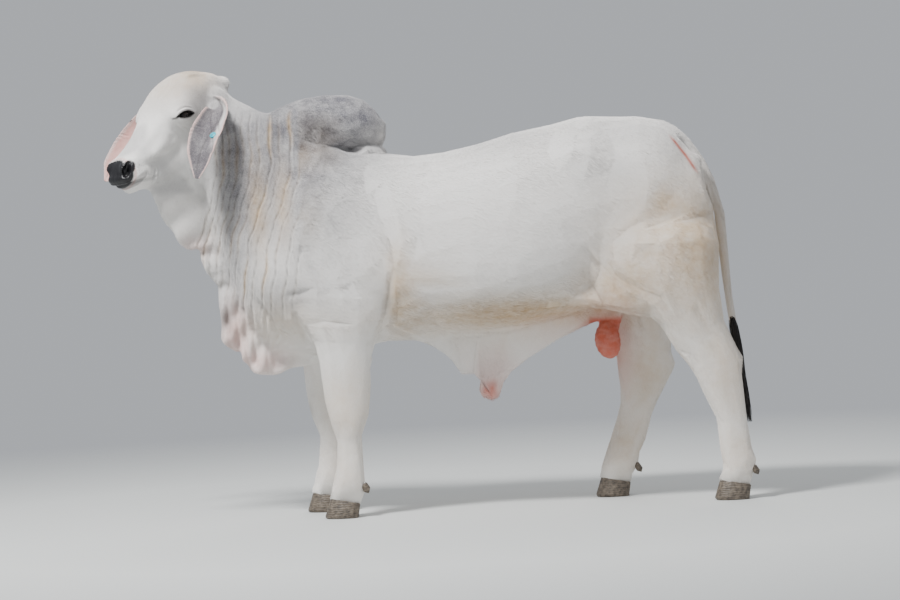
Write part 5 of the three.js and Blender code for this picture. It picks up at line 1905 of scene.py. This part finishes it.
def eye_axes(side):
    """Where an eye looks, and the directions along and across its opening, in the head's frame."""
    ahead, outward, up = GAZE
    gaze = unit(np.array([ahead, side * outward, up]))
    across = unit(np.cross(gaze, (0, 0, 1)))
    c = math.cos(math.radians(LID_TILT))
    s = math.sin(math.radians(LID_TILT))
    level = c * across + s * np.cross(across, gaze) * np.sign(across[0])
    return gaze, level, np.cross(level, gaze)


def round_ball():
    """Points and triangles of a ball with a radius of 1."""
    work = bmesh.new()
    bmesh.ops.create_uvsphere(work, u_segments=40, v_segments=28, radius=1)
    bmesh.ops.triangulate(work, faces=work.faces[:])
    mesh = bpy.data.meshes.new("ball_work")
    work.to_mesh(mesh)
    work.free()
    points = points_of(mesh)
    faces = triangles_of(mesh)
    bpy.data.meshes.remove(mesh)
    return points, faces


class BULL_OT_eyes(bpy.types.Operator):
    """Build both eyes with their corneas, and the gaze that their colours follow"""

    bl_idname = "bull.eyes"
    bl_label = "Eyes"

    def execute(self, context):
        material = eye_material()
        ball_points, faces = round_ball()
        for side, name in ((-1, "left"), (1, "right")):
            gaze, level, rise = eye_axes(side)
            ahead = ball_points @ gaze
            bulge = 1 + CORNEA * ramp(ahead, 0.78, 1.0)
            globe = eye_centre(side) + EYE_RADIUS * bulge[:, None] * ball_points
            thing = new_object("globe_" + name, placed(from_head(globe)), faces)
            # The back of the globe is put far outside the iris.
            seen = np.stack([ball_points @ level, ball_points @ rise, 0 * ahead], 1)
            seen *= np.where(ahead > 0, 1, 9)[:, None]
            attribute = thing.data.attributes.new("gaze", "FLOAT_VECTOR", "POINT")
            attribute.data.foreach_set("vector", seen.astype(np.float32).ravel())
            dress(thing, material, "eye", "eye_" + name)
        return {"FINISHED"}


class BULL_OT_hooves(bpy.types.Operator):
    """Build two claws and two dewclaws on each foot, with growth rings"""

    bl_idname = "bull.hooves"
    bl_label = "Hooves"

    def execute(self, context):
        horn = horn_material()
        for leg in ("foreleg_left", "foreleg_right", "hindleg_left", "hindleg_right"):
            for place in ("outer", "inner"):
                for kind in ("hoof", "dewclaw"):
                    node = f"{kind}_{leg}_{place}"
                    dress_claw(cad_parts[node], node, horn)
        return {"FINISHED"}


CLAW_EDGE = 0.0035
BLUNT_ANGLE = 20


def dress_claw(solid, node, material):
    """A claw made from its solid, with its edges softened inside the solid's own faces."""
    claw = bpy.data.objects.new(node + "_horn", solid.data.copy())
    bpy.context.scene.collection.objects.link(claw)
    work = bmesh.new()
    work.from_mesh(claw.data)
    bmesh.ops.remove_doubles(work, verts=work.verts[:], dist=1e-5)
    bmesh.ops.recalc_face_normals(work, faces=work.faces[:])
    bmesh.ops.dissolve_limit(work, angle_limit=math.radians(3), verts=work.verts[:], edges=work.edges[:])
    work.to_mesh(claw.data)
    work.free()
    bevel = claw.modifiers.new("soften", "BEVEL")
    bevel.width = CLAW_EDGE
    bevel.segments = 3
    bevel.limit_method = "ANGLE"
    bevel.angle_limit = math.radians(BLUNT_ANGLE)
    run_modifiers(claw)
    points = points_of(claw.data)
    points[:, 2] = np.maximum(points[:, 2], 0)
    set_points(claw.data, points)
    claw.data.shade_smooth()
    dress(claw, material, "horn", node)


# The tag's outline, as radius and height off the ear.
TAG_OUTLINE = [
    (0, 11.5), (3.4, 11.5), (4.2, 10.4), (4.6, 8.4), (11.6, 7.8),
    (13.2, 6.9), (13.8, 5.4), (13.4, 3.4), (0, 3),
]
TAG_SIDES = 40


def turned_shape(root, out, along, outline, sides):
    """A closed shape turned round an axis, from an outline whose two ends lie on the axis."""
    over = np.cross(out, along)
    turns = np.arange(sides) * 2 * math.pi / sides
    rim = np.cos(turns)[:, None] * along + np.sin(turns)[:, None] * over
    rings = [root + out * height + radius * rim for radius, height in outline[1:-1]]
    ends = [root + out * height for _, height in (outline[0], outline[-1])]
    points = np.vstack(rings + ends)
    top = len(points) - 2
    last = (len(rings) - 1) * sides
    faces = []
    for n in range(sides):
        after = (n + 1) % sides
        faces.append((top, n, after))
        for a in range(0, last, sides):
            faces.append((a + n, a + sides + n, a + sides + after))
            faces.append((a + n, a + sides + after, a + after))
        faces.append((top + 1, last + after, last + n))
    return points, faces


class BULL_OT_tag(bpy.types.Operator):
    """Build the round button tag in the left ear"""

    bl_idname = "bull.tag"
    bl_label = "Ear tag"

    def execute(self, context):
        low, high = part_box("ear_tag")
        middle = unplaced((np.array(low) + np.array(high)) / 2)
        leaf = LEAVES["left"]
        i, j = leaf.nearest(middle[None])
        here = (i[0], j[0])
        points, faces = turned_shape(
            leaf.place[here], leaf.out[here], leaf.along[here], TAG_OUTLINE, TAG_SIDES
        )
        thing = new_object("button_tag", placed(points), faces)
        dress(thing, plastic_material(), "tag_plastic", "ear_tag")
        return {"FINISHED"}


SWITCH_BACK = 858
SWITCH_PATH = [(797, 0, 712), (804, 0, 660), (814, 0, 590), (824, 0, 480), (838, 0, 380), (850, 0, 286)]
SWITCH_ROOT = 14
STRAND_STEPS = 12
STRAND_CORNERS = (0, 2.094, 4.189)


def strand_points(random, half_width):
    """One tapering strand of the switch, three points at each step from its root to its tip."""
    start = random.uniform(0.0, 0.5)
    end = min(start + random.uniform(0.4, 0.62), 1.0)
    path = spline(SWITCH_PATH, np.linspace(start, end, STRAND_STEPS + 1))
    angle = random.uniform(0, 2 * math.pi)
    out = np.array([0.75 * math.cos(angle), math.sin(angle), 0])
    side = np.array([-out[1], out[0], 0])
    f = np.linspace(0, 1, STRAND_STEPS + 1)
    spread = random.uniform(3, 22) * (1 - 0.35 * start)
    swell = np.sin(f * math.pi * 0.72) ** 0.8
    sway = random.uniform(-7, 7) * np.sin(f * math.pi * random.uniform(0.8, 1.6))
    away = SWITCH_ROOT * (1 - start) * (1 - f) + spread * swell
    path = path + out * away[:, None] + side * sway[:, None]
    path[:, 0] = np.minimum(path[:, 0], SWITCH_BACK)
    half = half_width * (1 - 0.85 * f**2) * random.uniform(0.7, 1.2)
    ring = [math.cos(turn) * side * 1.5 + math.sin(turn) * out for turn in STRAND_CORNERS]
    return [path[k] + half[k] * corner for k in range(STRAND_STEPS + 1) for corner in ring]


def strand_faces(base):
    """The triangles of a strand whose first point has a number."""
    faces = []
    for k in range(STRAND_STEPS):
        for m in range(3):
            a = base + 3 * k + m
            b = base + 3 * k + (m + 1) % 3
            faces += [(a, a + 3, b + 3), (a, b + 3, b)]
    tip = base + 3 * STRAND_STEPS
    return faces + [(base, base + 1, base + 2), (tip + 2, tip + 1, tip)]


class BULL_OT_switch(bpy.types.Operator):
    """Build the tail's switch from many fine strands"""

    bl_idname = "bull.switch"
    bl_label = "Tail switch"

    def execute(self, context):
        settings = context.scene.bull_switch
        random = np.random.default_rng(settings.seed)
        half_width = settings.width * 500
        points = []
        faces = []
        for _ in range(settings.strands):
            faces += strand_faces(len(points))
            points += strand_points(random, half_width)
        thing = new_object("switch_hair", placed(points), faces)
        dress(thing, switch_material(), "switch_hair", "tail_switch")
        return {"FINISHED"}


LENS = 120
SENSOR = 36
CAMERA_AWAY = 12.0
CAMERA_PITCH = 0.9
CAMERA_ROLL = 2.9
CAMERA_TARGET = (0.09175, 0.0029, 0.833)
BACKDROP_STRENGTH = 0.6
FLOOR_HALF = 40
FLOOR_FADE = (2.2, 6.0)
LIGHT_AIM = Vector((0, 0, 1.0))
# Each light's place, size and watts.
LIGHTS = {
    "key": ((-2.8, -3.6, 6.6), 1.3, 900),
    "fill": ((4.5, -5.5, 2.6), 4.0, 40),
    "back": ((1.0, 5.0, 4.5), 4.0, 130),
}


def floor_material():
    """A pale matt floor that fades into the plain background away from the bull."""
    material, tree, place = start_material("pale_studio_floor")
    away = add_node(tree, "ShaderNodeVectorMath", {0: place}, operation="LENGTH").outputs["Value"]
    shade(tree, rising(tree, away, *FLOOR_FADE), Base_Color=linear(FLOOR), Roughness=0.9)
    return material


def lay_floor():
    corners = [(x * FLOOR_HALF, y * FLOOR_HALF, 0) for x, y in ((-1, -1), (1, -1), (1, 1), (-1, 1))]
    floor = new_object("floor", corners, [(0, 1, 2, 3)], False)
    floor.data.materials.append(floor_material())


def set_backdrop(scene):
    """An even pale sky, which lights the shaded side."""
    scene.world = bpy.data.worlds.new("studio")
    scene.world.use_nodes = True
    inputs = scene.world.node_tree.nodes["Background"].inputs
    inputs["Color"].default_value = linear(BACKDROP)
    inputs["Strength"].default_value = BACKDROP_STRENGTH


def hang_light(scene, name, place, size, watts):
    light = bpy.data.lights.new(name, "AREA")
    light.energy = watts
    light.size = size
    lamp = bpy.data.objects.new(name, light)
    lamp.location = place
    aim = LIGHT_AIM - Vector(place)
    lamp.rotation_euler = aim.to_track_quat("-Z", "Y").to_euler()
    scene.collection.objects.link(lamp)


def stand_camera(scene):
    """The camera at the photo's place: square to the bull's side, pitched a little down and rolled."""
    camera = bpy.data.objects.new("camera", bpy.data.cameras.new("camera"))
    camera.data.lens = LENS
    camera.data.sensor_width = SENSOR
    camera.data.clip_end = 200
    pitch = math.radians(CAMERA_PITCH)
    roll = math.radians(CAMERA_ROLL)
    ahead = Vector((0, math.cos(pitch), -math.sin(pitch)))
    right = Vector((1, 0, 0))
    up = right.cross(ahead)
    turned_right = math.cos(roll) * right - math.sin(roll) * up
    turned_up = math.sin(roll) * right + math.cos(roll) * up
    camera.location = Vector(CAMERA_TARGET) - CAMERA_AWAY * ahead
    camera.rotation_mode = "QUATERNION"
    camera.rotation_quaternion = Matrix((turned_right, turned_up, -ahead)).transposed().to_quaternion()
    scene.collection.objects.link(camera)
    scene.camera = camera


class BULL_OT_stage(bpy.types.Operator):
    """Set up the pale floor, soft lights and the camera"""

    bl_idname = "bull.stage"
    bl_label = "Stage"

    def execute(self, context):
        lay_floor()
        set_backdrop(context.scene)
        for name, (place, size, watts) in LIGHTS.items():
            hang_light(context.scene, name, place, size, watts)
        stand_camera(context.scene)
        return {"FINISHED"}


class BULL_PT_panel(bpy.types.Panel):
    """Lists the bull's pieces in the sidebar"""

    bl_idname = "BULL_PT_panel"
    bl_label = "Brahman Bull"
    bl_space_type = "VIEW_3D"
    bl_region_type = "UI"
    bl_category = "Bull"

    def draw(self, context):
        for operator in OPERATORS:
            self.layout.operator(operator.bl_idname)
        for group in (context.scene.bull_skin, context.scene.bull_coat, context.scene.bull_switch):
            for name in group.bl_rna.properties.keys():
                if name not in ("rna_type", "name"):
                    self.layout.prop(group, name)


SETTINGS = {"bull_skin": BullSkinSettings, "bull_coat": BullCoatSettings, "bull_switch": BullSwitchSettings}
OPERATORS = (
    BULL_OT_skin, BULL_OT_coat, BULL_OT_eyes, BULL_OT_hooves, BULL_OT_tag, BULL_OT_switch, BULL_OT_stage,
)


def register():
    for group in SETTINGS.values():
        bpy.utils.register_class(group)
    for name, group in SETTINGS.items():
        setattr(bpy.types.Scene, name, bpy.props.PointerProperty(type=group))
    for operator in OPERATORS:
        bpy.utils.register_class(operator)
    bpy.utils.register_class(BULL_PT_panel)


def unregister():
    bpy.utils.unregister_class(BULL_PT_panel)
    for operator in OPERATORS:
        bpy.utils.unregister_class(operator)
    for name, group in SETTINGS.items():
        delattr(bpy.types.Scene, name)
        bpy.utils.unregister_class(group)


def main():
    register()
    bpy.ops.bull.stage()
    bpy.ops.bull.skin()
    bpy.ops.bull.coat()
    bpy.ops.bull.eyes()
    bpy.ops.bull.hooves()
    bpy.ops.bull.tag()
    bpy.ops.bull.switch()


if __name__ == "__main__":
    main()
